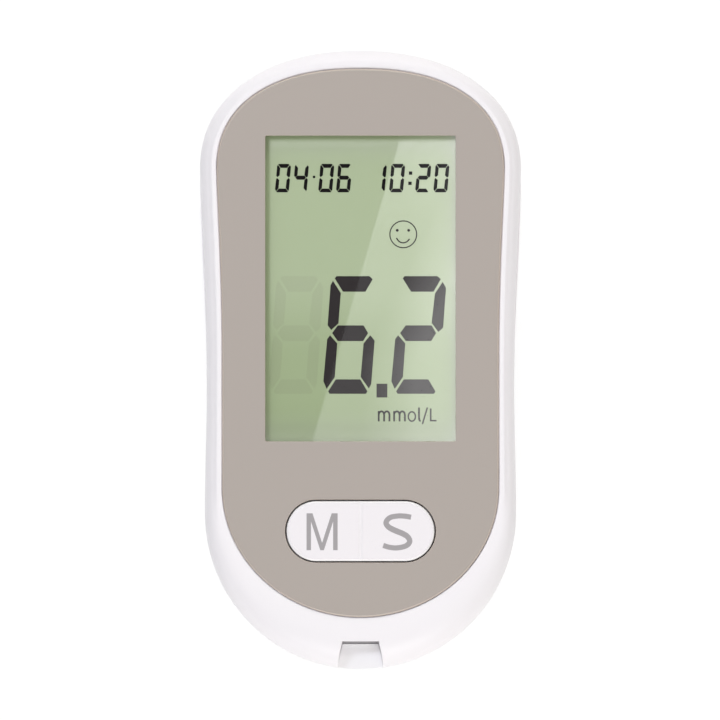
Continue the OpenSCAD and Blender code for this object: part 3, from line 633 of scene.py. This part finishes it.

# %% [markdown]
# ## Front panel and window
# The grey panel is a laser-cut acrylic sheet with its colour printed on it. Its outer edge is rounded and its openings
# have a slight break of the edge, which draws a fine light line round each. Its finish also paints these rims paler, a
# painted highlight, and its upright walls browner, a painted shade. The window is a clear sheet set a little below the
# panel's face.

# %% Panel and window
def full_loop(o, count=150):
    """A whole outline, anticlockwise, with points spaced evenly by length."""
    half = along(half_outline(o), count)
    return np.vstack([half, half[-2:0:-1] * [-1, 1]])


def rectangle(half_x, y0, y1, r=0.0, steps=4):
    """An anticlockwise rectangle with quarter-round corners of radius r."""
    if not r:
        return np.array([[half_x, y0], [half_x, y1], [-half_x, y1], [-half_x, y0]], float)
    t = np.radians(np.linspace(0, 90, steps + 1))
    arc = r * np.stack([np.cos(t), np.sin(t)], 1)
    turn = np.array([[0, -1], [1, 0]])
    corners = [(half_x - r, y1 - r), (-half_x + r, y1 - r), (-half_x + r, y0 + r), (half_x - r, y0 + r)]
    return np.vstack([c + arc @ np.linalg.matrix_power(turn, k).T for k, c in enumerate(corners)])


def pill(length, width, steps=40):
    """An anticlockwise stadium along X, centred on the key."""
    t = np.radians(np.linspace(-90, 90, steps + 1))
    end = width / 2 * np.stack([np.cos(t), np.sin(t)], 1) + [(length - width) / 2, 0]
    return np.vstack([end, -end]) + [0, KEY_Y]


def circle_loop(x, y, rx, ry=None, steps=48):
    """An anticlockwise circle, or an ellipse with half axes rx and ry."""
    t = np.linspace(0, 2 * np.pi, steps, endpoint=False)
    return np.stack([x + rx * np.cos(t), y + (ry or rx) * np.sin(t)], 1)


window_hole = rectangle(WINDOW_W / 2, WINDOW_Y - WINDOW_H / 2, WINDOW_Y + WINDOW_H / 2, 0.25)
panel = plate(full_loop(PANEL), [window_hole, pill(OPENING_L, OPENING_W)], PANEL_BASE_Z, PANEL_Z, r=0.4, hole_r=0.12)
piece("panel_plate", panel, "casing", acrylic_grey, ["front_panel"])
lens = plate(rectangle(LENS_W / 2, WINDOW_Y - LENS_H / 2, WINDOW_Y + LENS_H / 2, 0.4), [],
             LENS_BASE_Z, POCKET_Z, r=0.05)
piece("window_sheet", lens, "casing", lens_clear, ["display_window"])

# %% [markdown]
# ## Rocker key
# The key is one hollow moulding that tips to either side. Its face is flat with a rounded rim and
# a shallow groove across the middle, where a thumb finds the centre. The face is a grid of strips
# across the pill shape, so that the groove can follow one line of points.

# %% Key face
KEY_R, GROOVE_HALF, GROOVE_DEPTH = 0.45, 0.45, 0.12
KEY_SIDE_Z = (12.2, 13.4, 14.6)
cap_l, cap_w = OPENING_L - 2 * KEY_GAP, OPENING_W - 2 * KEY_GAP


def groove(x):
    """Depth of the key's middle groove: full in the middle, falling to nothing as a cosine."""
    wave = (1 + np.cos(np.pi * x / GROOVE_HALF)) / 2
    return np.where(np.abs(x) < GROOVE_HALF, GROOVE_DEPTH * wave, 0)


arc_x = (cap_l - cap_w) / 2 + cap_w / 2 * np.sin(np.radians(np.linspace(0, 90, 25)))
side_x = np.unique(np.concatenate([np.linspace(0, 0.7, 15), np.linspace(0.7, arc_x[0], 18), arc_x]))
xs = np.concatenate([-side_x[:0:-1], side_x])
reach = np.maximum(np.abs(xs) - (cap_l - cap_w) / 2, 0)
ys = np.sqrt(np.maximum((cap_w / 2) ** 2 - reach ** 2, 0))
rim = np.vstack([np.column_stack([xs, -ys]), np.column_stack([xs, ys])[-2:0:-1]])
rim_rows = []
round_rows = [(KEY_R * (1 - math.cos(a)), KEY_TOP - 0.01 - KEY_R + KEY_R * math.sin(a))
              for a in np.radians(np.arange(0, 91, 15))]
for d, z in [(0, z) for z in KEY_SIDE_Z] + round_rows:
    loop = offset(rim, d) if d else rim
    lowered = groove(loop[:, 0]) * np.clip((z - (KEY_TOP - KEY_R)) / KEY_R, 0, 1)
    rim_rows.append(at(loop + [0, KEY_Y], z - lowered))
rim_rows = np.array(rim_rows)
key_side = grid(np.concatenate([rim_rows, rim_rows[:, :1]], 1))
n = len(xs)
low_edge = rim_rows[-1][:n]
high_edge = np.vstack([rim_rows[-1][:1], rim_rows[-1][n:][::-1], rim_rows[-1][n - 1:n]])
v = np.linspace(0, 1, 13)[:, None, None]
key_skin = [key_side, grid(low_edge + (high_edge - low_edge) * v)]
# The key's finish paints its rounded rim whiter, a painted highlight.
piece("rocker_key_cap", key_skin, "key", abs_key, ["rocker_key"],
      kept=[uncovered("rocker_key", key_skin)])

# %% [markdown]
# The two ends of the key carry printed letters for its two functions. They are plain strokes: one
# polygon for the first, and a ribbon of constant width along a smooth line for the second.

# %% Letters on the key
def prism(loop, z0, z1):
    """A flat solid from a loop, without rounding."""
    return plate(np.asarray(loop, float), [], z0, z1)


def ribbon(path, width):
    """A closed loop round a line, half its width away from it on each side, with square ends."""
    tangent = np.gradient(path, axis=0)
    side = np.stack([-tangent[:, 1], tangent[:, 0]], 1) / np.linalg.norm(tangent, axis=1)[:, None]
    side *= np.broadcast_to(width, len(path))[:, None] / 2
    return np.vstack([path - side, (path + side)[::-1]])


def smooth_line(points, count=60):
    """A curve through points: a Catmull-Rom spline, whose tangent at each point joins its neighbours."""
    p = np.asarray(points, float)
    p = np.vstack([2 * p[0] - p[1], p, 2 * p[-1] - p[-2]])
    t = np.linspace(0, len(p) - 3 - 1e-9, count)
    i, f = t.astype(int), (t % 1)[:, None]
    a, b, c, d = (p[i + k] for k in range(4))
    return 0.5 * (2 * b + (c - a) * f + (2 * a - 5 * b + 4 * c - d) * f ** 2 + (3 * b - a - 3 * c + d) * f ** 3)


LETTER_DEPTH, LETTER_H, FIRST_X, FIRST_DROP, SECOND_X, SECOND_DROP = 0.06, 5.65, -5.89, 0.09, 5.68, 0.13
m_right = [(0.275, 0), (1.7, 4.41), (1.7, 0), (2.38, 0), (2.38, LETTER_H), (1.47, LETTER_H)]
m_left = [(-x, y) for x, y in m_right[::-1]]
m_loop = np.array(m_right + [(0, 1.1)] + m_left) + [FIRST_X, KEY_Y - FIRST_DROP - LETTER_H / 2]
s_line = smooth_line([(2.07, 2.27), (1.08, 2.43), (0, 2.45), (-1.15, 2.2), (-1.76, 1.5), (-1.45, 0.83), (-0.7, 0.38),
                      (0, 0.07), (0.85, -0.28), (1.55, -0.75), (1.86, -1.44), (1.34, -2.1), (0, -2.43),
                      (-1.2, -2.35), (-2.2, -2.06)], 90)
s_width = 0.78 + 0.1 * np.sin(np.pi * np.linspace(0, 1, 90)) ** 4
s_loop = ribbon(s_line, s_width) + [SECOND_X, KEY_Y - SECOND_DROP]
letters = [part for loop in (m_loop, s_loop) for part in prism(loop, KEY_TOP - LETTER_DEPTH, KEY_TOP)]
piece("key_letters", letters, "key", legend_grey)

# %% [markdown]
# ## Test strip guide
# The notch's floor is a separate small ramp. It falls away from the slot towards the mouth, and it is scooped in two
# ways: most at the upper end, and along the middle. At the mouth it turns down round a quarter circle to a small outer
# face. A thin grey sheet on the slot's floor is painted shade: it darkens the line at the foot of the notch's inner
# wall.

# %% Guide
RAMP_LENGTH, SCOOP, HOLLOW, MOUTH_R, FIT = 5.1, 0.9, 0.22, 0.12, 0.01
s = np.linspace(0, 1, 33)[:, None]
across = np.linspace(-1, 1, 25)[None, :]
mouth_level = (MOUTH_Z - JOINT_Z - SEAM) / (RIM_Z - JOINT_Z - SEAM)
face_u = drop(mouth_level, EDGE_POWER)
y_end = chin_y((NOTCH_OUTER - FIT) * across, face_u) + MOUTH_R
y_guide = NOTCH_Y - 0.05 + (y_end - NOTCH_Y + 0.05) * s
x_guide = (notch_half(y_guide) - FIT) * across
way = np.clip((NOTCH_Y - 0.2 - y_guide) / RAMP_LENGTH, 0, 1)
z_guide = SLOT_FLOOR - way ** 2 - SCOOP * (1 - s) ** 2.7 * np.clip(20 * s, 0, 1)
z_guide = z_guide - HOLLOW * (1 - across ** 2) * np.clip(4 * s, 0, 1)
guide_rows = np.stack([x_guide, y_guide, z_guide], -1)
mouth, foot = guide_rows[-1], []
for turn in np.radians([22.5, 45, 67.5, 90]):
    foot.append(mouth + [0, -MOUTH_R * math.sin(turn), -MOUTH_R * (1 - math.cos(turn))])
for share in np.linspace(0.75, 0, 4):
    row = at(foot[3], JOINT_Z + SEAM + (foot[3][:, 2] - JOINT_Z - SEAM) * share)
    row[:, 1] = np.minimum(row[:, 1], chin_y(row[:, 0], 1 - 0.003 * share))
    foot.append(row)
guide_skin = [grid(np.concatenate([guide_rows, np.stack(foot)]))]
# Painted shade: a grey sheet on the slot's floor darkens the line where the notch's inner wall meets the slot.
slot_shade_sheet = plate(rectangle(NOTCH_INNER - 0.05, NOTCH_Y - 0.03, NOTCH_Y + 1.1, 0.1), [],
              SLOT_FLOOR - 0.15, SLOT_FLOOR + 0.04, r=0.03)
piece("slot_painted_shade", slot_shade_sheet, "casing", slot_shade_grey)


def guide_faces(middle, normals):
    """CAD faces that the new ramp stands for: those in the notch that face up or out of its mouth."""
    return (middle[:, 1] < NOTCH_Y) & ((normals[:, 2] > 0.2) | (normals[:, 1] < -0.5))


piece("guide_ramp", guide_skin, "casing", abs_guide, ["strip_guide"],
      kept=[uncovered("strip_guide", guide_skin, 0.35, guide_faces)])

# %% [markdown]
# ## Display marks
# Each digit is made of up to seven segments with bevelled ends, drawn leaning to the right. One
# template holds the seven outlines, with a digit about 1225 units high. Every digit scales it and
# picks its segments, as the real display does with its electrodes. Places on the display are given
# in pixels of the front view, 6.51 to the millimetre.

# %% Segment template
PX, MIDDLE_X, MIDDLE_Y = 6.51, 360.5, 360.25
SEGMENTS = {
    "a": [(128, 1205), (150, 1227), (490, 1227), (525, 1195), (450, 1065), (215, 1065)],
    "b": [(545, 1167), (580, 1105), (550, 690), (500, 645), (430, 740), (465, 1045)],
    "c": [(500, 610), (545, 555), (510, 105), (485, 55), (400, 175), (430, 525)],
    "d": [(60, 25), (75, 0), (455, 0), (470, 25), (395, 150), (140, 150)],
    "e": [(80, 610), (155, 525), (130, 175), (45, 50), (10, 130), (50, 570)],
    "f": [(110, 1180), (192, 1050), (168, 735), (92, 665), (55, 715), (85, 1130)],
    "g": [(102, 633), (160, 713), (430, 713), (477, 633), (425, 550), (160, 550)],
}
DIGITS = {"0": "abcdef", "1": "bc", "2": "abged", "4": "fgbc", "6": "afgecd", "8": "abcdefg"}
INK_Z, GHOST_Z = (13.86, 13.915), (13.86, 13.905)


def photo_mm(x, y):
    """A place in the front view, in pixels of a 720 pixel frame, as millimetres on the meter."""
    return np.stack([(np.asarray(x, float) - MIDDLE_X) / PX, (MIDDLE_Y - np.asarray(y, float)) / PX], -1)


def anticlockwise(loop):
    """The loop turned round if its signed area is negative."""
    loop = np.asarray(loop, float)
    x, y = loop.T
    return loop if (x * np.roll(y, -1) - np.roll(x, -1) * y).sum() > 0 else loop[::-1]


def digit(mark, x, y, unit_x, unit_y, gap=0.0, heights=INK_Z):
    """The segments of one digit, with its lower left corner at pixel (x, y), each inset by gap."""
    made = []
    for name in DIGITS[mark]:
        loop = np.array(SEGMENTS[name], float) * [unit_x, unit_y]
        loop = anticlockwise(photo_mm(x + loop[:, 0], y - loop[:, 1]))
        made += prism(offset(loop, gap) if gap else loop, *heights)
    return made


def disc(x, y, r):
    """A round dot: centre and radius in pixels."""
    return prism(circle_loop(*photo_mm(x, y), r / PX, steps=32), *INK_Z)


def block(x0, x1, y0, y1):
    """A rectangular mark between two pixel columns and rows."""
    return prism(photo_mm([x0, x1, x1, x0], [y1, y1, y0, y0]), *INK_Z)


# %% [markdown]
# The small digits on top give the date and the time, and the large ones a reading.

# %% Digits
SMALL, BIG = (0.0274, 0.0229), (1 / 10.45, 1 / 10.45)
SMALL_FOOT, BIG_FOOT = 192.4, 393.7
SMALL_X = (275.0, 292.8, 318.2, 336.0, 370.7, 389.0, 415.0, 433.2)
DATE_DOT, DATE_DOT_R = (314.1, 177.2), 1.35
COLON = [(408.8, 412.2, 171.7, 175.0), (408.2, 411.6, 181.9, 185.2)]
GHOST_X, FIRST_BIG_X, SECOND_BIG_X = 268.0, 322.44, 390.38
POINT = (376.5, 387.3, 383.7, 397.4)
marks = []
for mark, x in zip("04061020", SMALL_X):
    marks += digit(mark, x, SMALL_FOOT, *SMALL, gap=-0.02)
marks += disc(*DATE_DOT, DATE_DOT_R) + block(*COLON[0]) + block(*COLON[1])
piece("display_segments_fine", marks, "casing", lcd_fine_ink)
marks = digit("6", FIRST_BIG_X, BIG_FOOT, *BIG) + digit("2", SECOND_BIG_X, BIG_FOOT, *BIG) + block(*POINT)
ghost = digit("8", GHOST_X, BIG_FOOT, *BIG, heights=GHOST_Z)
print("small digits", len(SMALL_X), "large digits 2, off 1")

# %% [markdown]
# A plain smiling face tells that the reading is in range. Its lines are thin closed bands: the
# face is a disc less a smaller one, and the mouth is a ribbon along a smooth line.

# %% Face symbol
FACE, FACE_R, HALF_LINE = (403.2, 234.5), 13.35 / PX, 0.085
EYE_Y, EYES_X, EYE_R = 230.5, (397.2, 408.6), 1.4
SMILE_X, SMILE_Y = (396.3, 399.0, 402.9, 406.8, 409.5), (238.1, 241.6, 243.0, 241.9, 239.0)
SMILE_WIDTH = 0.19
outer, inner = (circle_loop(*photo_mm(*FACE), FACE_R + side * HALF_LINE, steps=96) for side in (1, -1))
marks += plate(outer, [inner], *INK_Z)
for x in EYES_X:
    marks += disc(x, EYE_Y, EYE_R)
marks += prism(ribbon(smooth_line(photo_mm(SMILE_X, SMILE_Y), 25), SMILE_WIDTH), *INK_Z)

# %% [markdown]
# The unit of measure is a few strokes of constant width. An m is a stem and two humps, and both
# of them come from the same function.

# %% Unit of measure
def stroke(points, width=1.85, count=24, bend=True):
    """A line of constant width through pixel places, smooth or with straight parts."""
    path = photo_mm(*np.array(points, float).T)
    path = smooth_line(path, count) if bend else along(path, count)
    return prism(ribbon(path, width / PX), *INK_Z)


def arch(left, top, right, foot):
    """One hump of a small m: up from its left stem, over, and down to its foot."""
    half = (left + right) / 2
    return stroke([(left, top + 3.2), (left + 1.1, top + 1.4), (half + 0.3, top + 0.7), (right - 0.6, top + 1.9),
                   (right, top + 4.4), (right, (top + foot) / 2 + 2), (right, foot)])


UNIT_TOP, UNIT_FOOT, STEMS, HUMPS, HALF_STEM = 410.6, 421.3, (378.7, 394.1), [(0, 5.4), (5.4, 10.7)], 0.9
O_MIDDLE, O_OUTER, O_INNER = (411.8, 416.4), (4.3, 5.4), (2.8, 3.9)
TALL_STROKE = [(418.9, 407.4), (418.9, 413), (419.0, 418.6), (419.5, 420.3), (420.6, 421)]
SLASH = [(427.3, 407.4), (422.3, 424.0)]
CAPITAL = [(429.8, 431.4, 408.4, UNIT_FOOT), (431.4, 436.4, 419.8, UNIT_FOOT)]
for stem in STEMS:
    marks += block(stem - HALF_STEM, stem + HALF_STEM, UNIT_TOP + 0.4, UNIT_FOOT)
    for left, right in HUMPS:
        marks += arch(stem + left, UNIT_TOP, stem + right, UNIT_FOOT)
outer, inner = (circle_loop(*photo_mm(*O_MIDDLE), rx / PX, ry / PX) for rx, ry in (O_OUTER, O_INNER))
marks += plate(outer, [inner], *INK_Z)
marks += stroke(TALL_STROKE) + stroke(SLASH, 1.5, 2, bend=False) + block(*CAPITAL[0]) + block(*CAPITAL[1])
piece("display_segments", marks, "casing", lcd_ink)
piece("display_segments_off", ghost, "casing", lcd_ghost)

# %% [markdown]
# ## Rear housing and battery door
# The rear is a shallow tray with softly rounded edges. The battery door takes a piece of that same
# surface, so both come from one formula: rings that stop at the door's edge for the tray, and the
# rings' upper arcs for the door. The flat back has holes for screws and a shallow place for a
# label.

# %% Rear rings
rear_floor, rear_rim = half_outline(inset(BODY, REAR_INSET)), half_outline(BODY)


def rear_z(u):
    """Height of the tray's skin at outward share u of its edge, from 0 on the back to the joint."""
    return JOINT_Z * (1 - drop(u, REAR_POWER))


def share_at(z):
    """Outward share u at which the tray's skin has height z: (1 - c^n)^(1/n) with c = 1 - z / joint."""
    return (1 - (1 - z / JOINT_Z) ** REAR_POWER) ** (1 / REAR_POWER)


def rear_strip(u_rows, door_x, side, count):
    """Rings of the tray's right half: the part up to door_x for 'tray', from there to the top for 'door'."""
    rows = []
    for u in u_rows:
        path = rear_floor + (rear_rim - rear_floor) * u
        split = len(path) - 1 - crossing(path[::-1, 0] - door_x)
        row = along(path, count, 0.0, split) if side == "tray" else along(path, count, split)
        rows.append(at(row, rear_z(u)))
    return np.array(rows)


open_x, open_z = DOOR_W / 2 + DOOR_GAP, DOOR_END + DOOR_GAP
rear_shares = edge_rows(REAR_POWER, 24, EDGE_REACH, JOINT_Z, [share_at(open_z), share_at(DOOR_END)])
rear_shares = np.concatenate([[-0.03], rear_shares])  # one row lies in the flat back
tray = rear_strip(rear_shares, open_x, "tray", COLS)
above = rear_strip(rear_shares[rear_shares >= share_at(open_z) - 1e-9], open_x, "door", 26)
bottom_loop = np.vstack([tray[0][:, :2], [[open_x, DOOR_Y - DOOR_GAP], [-open_x, DOOR_Y - DOOR_GAP]],
                         tray[0][:0:-1, :2] * [-1, 1]])
label_hole = rectangle(LABEL_HALF_W, LABEL_Y - LABEL_HALF_L, LABEL_Y + LABEL_HALF_L)
screw_holes = [circle_loop(x, SCREW_Y, SCREW_HOLE_R) for x in (SCREW_X, -SCREW_X)]
bottom = flat(bottom_loop, [*screw_holes, label_hole], 0, up=False)
tray_part, above_part = grid(tray), grid(above)
rear_skin = [tray_part, mirrored(tray_part), above_part, mirrored(above_part), bottom]
piece("rear_shell", rear_skin, "casing", abs_white, ["rear_housing"],
      kept=[uncovered("rear_housing", rear_skin, reach=0.4)])

# %% [markdown]
# The door is the rest of the same surface, from the opening's edge to the upper end. Five short
# grooves across it give a thumb its grip.

# %% Battery door
lid_shares = rear_shares[rear_shares <= share_at(DOOR_END) + 1e-9]
lid = rear_strip(lid_shares, DOOR_W / 2, "door", 26)
lid_loop = np.vstack([[[-DOOR_W / 2, DOOR_Y], [DOOR_W / 2, DOOR_Y]], lid[0][:, :2], lid[0][-2::-1, :2] * [-1, 1]])
GRIP_Y, GRIP_PITCH, GRIP_W, GRIP_HALF = 15.0, 1.4, 0.6, 6.0
grips = [rectangle(GRIP_HALF - 0.9 * i, GRIP_Y + GRIP_PITCH * i, GRIP_Y + GRIP_W + GRIP_PITCH * i) for i in range(5)]
lid_part = grid(lid)
lid_skin = [lid_part, mirrored(lid_part), flat(lid_loop, grips, 0, up=False)]
piece("battery_lid", lid_skin, "door", abs_white, ["battery_door"],
      kept=[uncovered("battery_door", lid_skin, reach=0.2)])

# %% [markdown]
# Every CAD part that still shows has the finish of a real material by now.

# %% Nothing forgotten
print("shown without a finish of their own:",
      [name for name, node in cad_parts.items() if not node.hide_render and name not in dressed])

# %% [markdown]
# ## Floor, camera and light
# The floor is pale and plain. The camera, mirrors and glass see it as white, by a glow that only
# their rays meet, yet it still takes the object's shadow. The world is white to the camera too,
# and to everything else it is a weak fill light.

# %% Floor and world
FLOOR_R, FLOOR_CORNERS, FLOOR_Z, FLOOR_GLOW, SKY_FILL = 3, 64, -0.0001, 0.83, 0.23
floor_mesh = bpy.data.meshes.new("floor")
floor_mesh.from_pydata(at(circle_loop(0, 0, FLOOR_R, steps=FLOOR_CORNERS), FLOOR_Z).tolist(), [],
                       [list(range(FLOOR_CORNERS))])
floor = bpy.data.objects.new("floor", floor_mesh)
bpy.context.scene.collection.objects.link(floor)
floor_finish, tree = new_finish("floor_matt_white")
ray = add(tree, "LightPath")
seen = ray.outputs["Is Camera Ray"]
for kind in ("Is Glossy Ray", "Is Transmission Ray"):
    seen = add(tree, "Math", {0: seen, 1: ray.outputs[kind]}, operation="MAXIMUM")
glow = add(tree, "Math", {0: seen, 1: FLOOR_GLOW}, operation="MULTIPLY")
shade = add(tree, "Mix", {0: seen, 6: linear("#f2f2f2"), 7: linear("#808080")}, data_type="RGBA")
paint = add(tree, "BsdfDiffuse", {"Color": shade.outputs[2]})
both = add(tree, "AddShader", {0: paint, 1: add(tree, "Emission", {"Strength": glow})})
add(tree, "OutputMaterial", {"Surface": both})
floor_mesh.materials.append(floor_finish)

world = bpy.data.worlds.new("studio")
bpy.context.scene.world = world
world.use_nodes = True
world.node_tree.nodes.clear()
tree = world.node_tree
seen = add(tree, "LightPath").outputs["Is Camera Ray"]
strength = add(tree, "MapRange", {"Value": seen, "To Min": SKY_FILL, "To Max": 1.0})
sky = add(tree, "Background", {"Strength": strength}, Color=(1, 1, 1, 1))
add(tree, "OutputWorld", {"Surface": sky})

# %% [markdown]
# The camera looks straight down through a long lens, as a catalogue picture is taken, so the
# outline is hardly enlarged towards the lens. The lens is as long as it takes to show the joint
# line's height at 6.51 pixels to the millimetre.

# %% Camera
DISTANCE, FRAME, SENSOR = 4.0, 720, 36.0
camera_data = bpy.data.cameras.new("camera")
camera_data.sensor_width = SENSOR
camera_data.lens = SENSOR * (DISTANCE / MM - JOINT_Z) / (FRAME / PX)
camera_data.clip_start, camera_data.clip_end = 0.05, 30
camera_data.shift_x, camera_data.shift_y = (FRAME / 2 - MIDDLE_X) / FRAME, (MIDDLE_Y - FRAME / 2) / FRAME
camera = bpy.data.objects.new("camera", camera_data)
bpy.context.scene.collection.objects.link(camera)
camera.location = (0, 0, DISTANCE)
bpy.context.scene.camera = camera
print("lens in mm", round(camera_data.lens, 1))

# %% [markdown]
# Soft boxes light the meter. The smallest and strongest stands high at the upper left and throws
# the short crisp shadows inside the window's frame. Low ones on all four sides light the rim, and
# a broad one overhead fills the recesses. Three of them hide from mirrors, where they would lie
# over the display as a grey haze.

# %% Soft boxes
def soft_box(name, centre, size, radiance, tint, in_mirrors):
    """An area lamp aimed at the meter, its power from how bright its face looks: radiance x pi x area."""
    data = bpy.data.lights.new(name, "AREA")
    data.shape, data.size, data.size_y = "RECTANGLE", *size
    data.energy = radiance * math.pi * size[0] * size[1]
    data.color = tint
    lamp = bpy.data.objects.new(name, data)
    lamp.location = centre
    lamp.rotation_euler = (-Vector(centre)).to_track_quat("-Z", "Y").to_euler()
    lamp.visible_camera, lamp.visible_glossy = False, in_mirrors
    bpy.context.scene.collection.objects.link(lamp)


for lamp in [
    ("soft_box_key", (-0.39, 0.34, 1.0), (0.2, 0.2), 18.0, (0.95, 1, 1.14), True),
    ("soft_box_top", (0.0, 1.0, 0.55), (1.0, 0.5), 4.0, (1.02, 1, 0.95), True),
    ("soft_box_bottom", (0.1, -1.0, 0.5), (1.0, 0.5), 4.4, (1.02, 1, 0.98), True),
    ("soft_box_left", (-1.0, -0.2, 0.5), (0.5, 1.0), 0.3, (0.96, 1, 1.06), False),
    ("soft_box_right", (1.0, 0.0, 0.5), (0.5, 1.0), 0.45, (1.08, 1, 0.9), False),
    ("soft_box_over", (0.15, -0.1, 1.2), (0.8, 0.8), 1.5, (1.01, 1, 0.96), False),
]:
    soft_box(*lamp)
print("lamps", len(bpy.data.lights))

# %% [markdown]
# A card hangs straight above the meter, where only mirrors see it. Both mirrors are flat, so each
# shows the card's gradients in place. Right of a slanted edge, the window shows one that grows to
# the lower right, and the film below it a bright part that is brightest at the top. Both are
# darker at the lower left. A ray from the film has crossed the window, so the card can tell it
# from one that comes from the window's face.

# %% Mirrored card
CARD_Z = 1.0
card_scale = 1 + CARD_Z / DISTANCE
card_corners = [(-0.05, -0.05), (0.05, -0.05), (0.05, 0.06), (-0.05, 0.06)]
card_mesh = bpy.data.meshes.new("mirrored_card")
card_mesh.from_pydata(at(card_corners, CARD_Z).tolist(), [], [[3, 2, 1, 0]])
card = bpy.data.objects.new("mirrored_card", card_mesh)
bpy.context.scene.collection.objects.link(card)
card.visible_camera = card.visible_diffuse = card.visible_shadow = card.visible_transmission = False
card_finish, tree = new_finish("card_graded")
spot = add(tree, "SeparateXYZ", {"Vector": add(tree, "TexCoord").outputs["Object"]})


def on_card(x, y):
    """Where on the card the mirror shows a pixel of the front view: its place on the meter, enlarged."""
    return photo_mm(x, y) * MM * card_scale


# Each ramp goes from 0 at one pixel column or row to 1 at another, raised to a power.
SLANT_TOP, SLANT_FOOT = (401.0, 136.3), (312.0, 441.0)
RISE_START, RISE_END, LEAN = 362, 416, 80
RAMPS = {
    "left_edge": ("X", 268.5, 271.5, 1), "top_edge": ("Y", 139.5, 143.5, 1), "upper": ("Y", 365, 280, 1),
    "higher": ("Y", 250, 160, 1), "top": ("Y", 172, 140, 2), "side": ("X", 405, 452, 1),
    "side_end": ("X", 443, 455, 2), "foot": ("Y", 408, 440, 1.2), "lean": ("Y", 360, 200, 1),
}
ramps = {}
for name, (axis, start, end, power) in RAMPS.items():
    low, high = (float(on_card(p, p)["XY".index(axis)]) for p in (start, end))
    ramp = add(tree, "MapRange", {"Value": spot.outputs[axis], "From Min": low, "From Max": high})
    if name == "upper":
        ramp.interpolation_type = "SMOOTHSTEP"
    ramps[name] = add(tree, "Math", {0: ramp, 1: power}, operation="POWER")

# %% [markdown]
# The slanted edge is a straight line: a point lies beyond it where x less slope times y is more
# than for the line. Weights then add up the ramps for the film and for the window.

# %% Brightness of the card
# The top ramp and the border ramps brighten the film's mirrored card along the window's upper, right and lower edges:
# a painted reflection that lifts the shade of the recess there.
FILM_BASE, FILM_RIGHT, FILM_ALL = 0.68, {"upper": 0.15, "higher": 0.6}, {"upper": 0.8, "top": 1.3}
FILM_BORDER = {"side": 0.6, "side_end": 0.9, "foot": 0.95}
WINDOW_BASE, WINDOW_RIGHT = 1.07, {"lean": -0.53, "rise": 3.6}


def weighted(base, weights):
    """base plus the sum of weight times ramp."""
    for name, weight in weights.items():
        base = add(tree, "Math", {0: ramps[name], 1: weight, 2: base}, operation="MULTIPLY_ADD")
    return base


edge_a, edge_b = on_card(*SLANT_TOP), on_card(*SLANT_FOOT)
slope = float((edge_a[0] - edge_b[0]) / (edge_a[1] - edge_b[1]))
beyond = add(tree, "Math", {0: spot.outputs["Y"], 1: -slope, 2: spot.outputs["X"]}, operation="MULTIPLY_ADD")
beyond = add(tree, "Math", {0: beyond, 1: float(edge_b[0] - slope * edge_b[1])}, operation="GREATER_THAN")

film = weighted(FILM_BASE, FILM_RIGHT)
film = weighted(add(tree, "Math", {0: beyond, 1: film}, operation="MULTIPLY"), FILM_ALL)
for name in ("left_edge", "top_edge"):
    film = add(tree, "Math", {0: film, 1: ramps[name]}, operation="MULTIPLY")
film = weighted(film, FILM_BORDER)

start, end = (float(on_card(x, 0)[0]) for x in (RISE_START, RISE_END))
rise = add(tree, "Math", {0: ramps["lean"], 1: -LEAN / PX * MM * card_scale, 2: spot.outputs["X"]},
           operation="MULTIPLY_ADD")
ramps["rise"] = add(tree, "MapRange", {"Value": rise, "From Min": start, "From Max": end})
window = weighted(WINDOW_BASE, WINDOW_RIGHT)
window = add(tree, "Math", {0: beyond, 1: window}, operation="MULTIPLY")
crossed = add(tree, "Math", {0: add(tree, "LightPath").outputs["Transparent Depth"], 1: 0.5}, operation="GREATER_THAN")
shown = add(tree, "Mix", {0: crossed, 2: window, 3: film})
add(tree, "OutputMaterial", {"Surface": add(tree, "Emission", {"Strength": shown})})
card_mesh.materials.append(card_finish)

# %% [markdown]
# The colours are shown as they are written: the Standard view has no film-like curve.

# %% View
bpy.context.scene.view_settings.view_transform = "Standard"
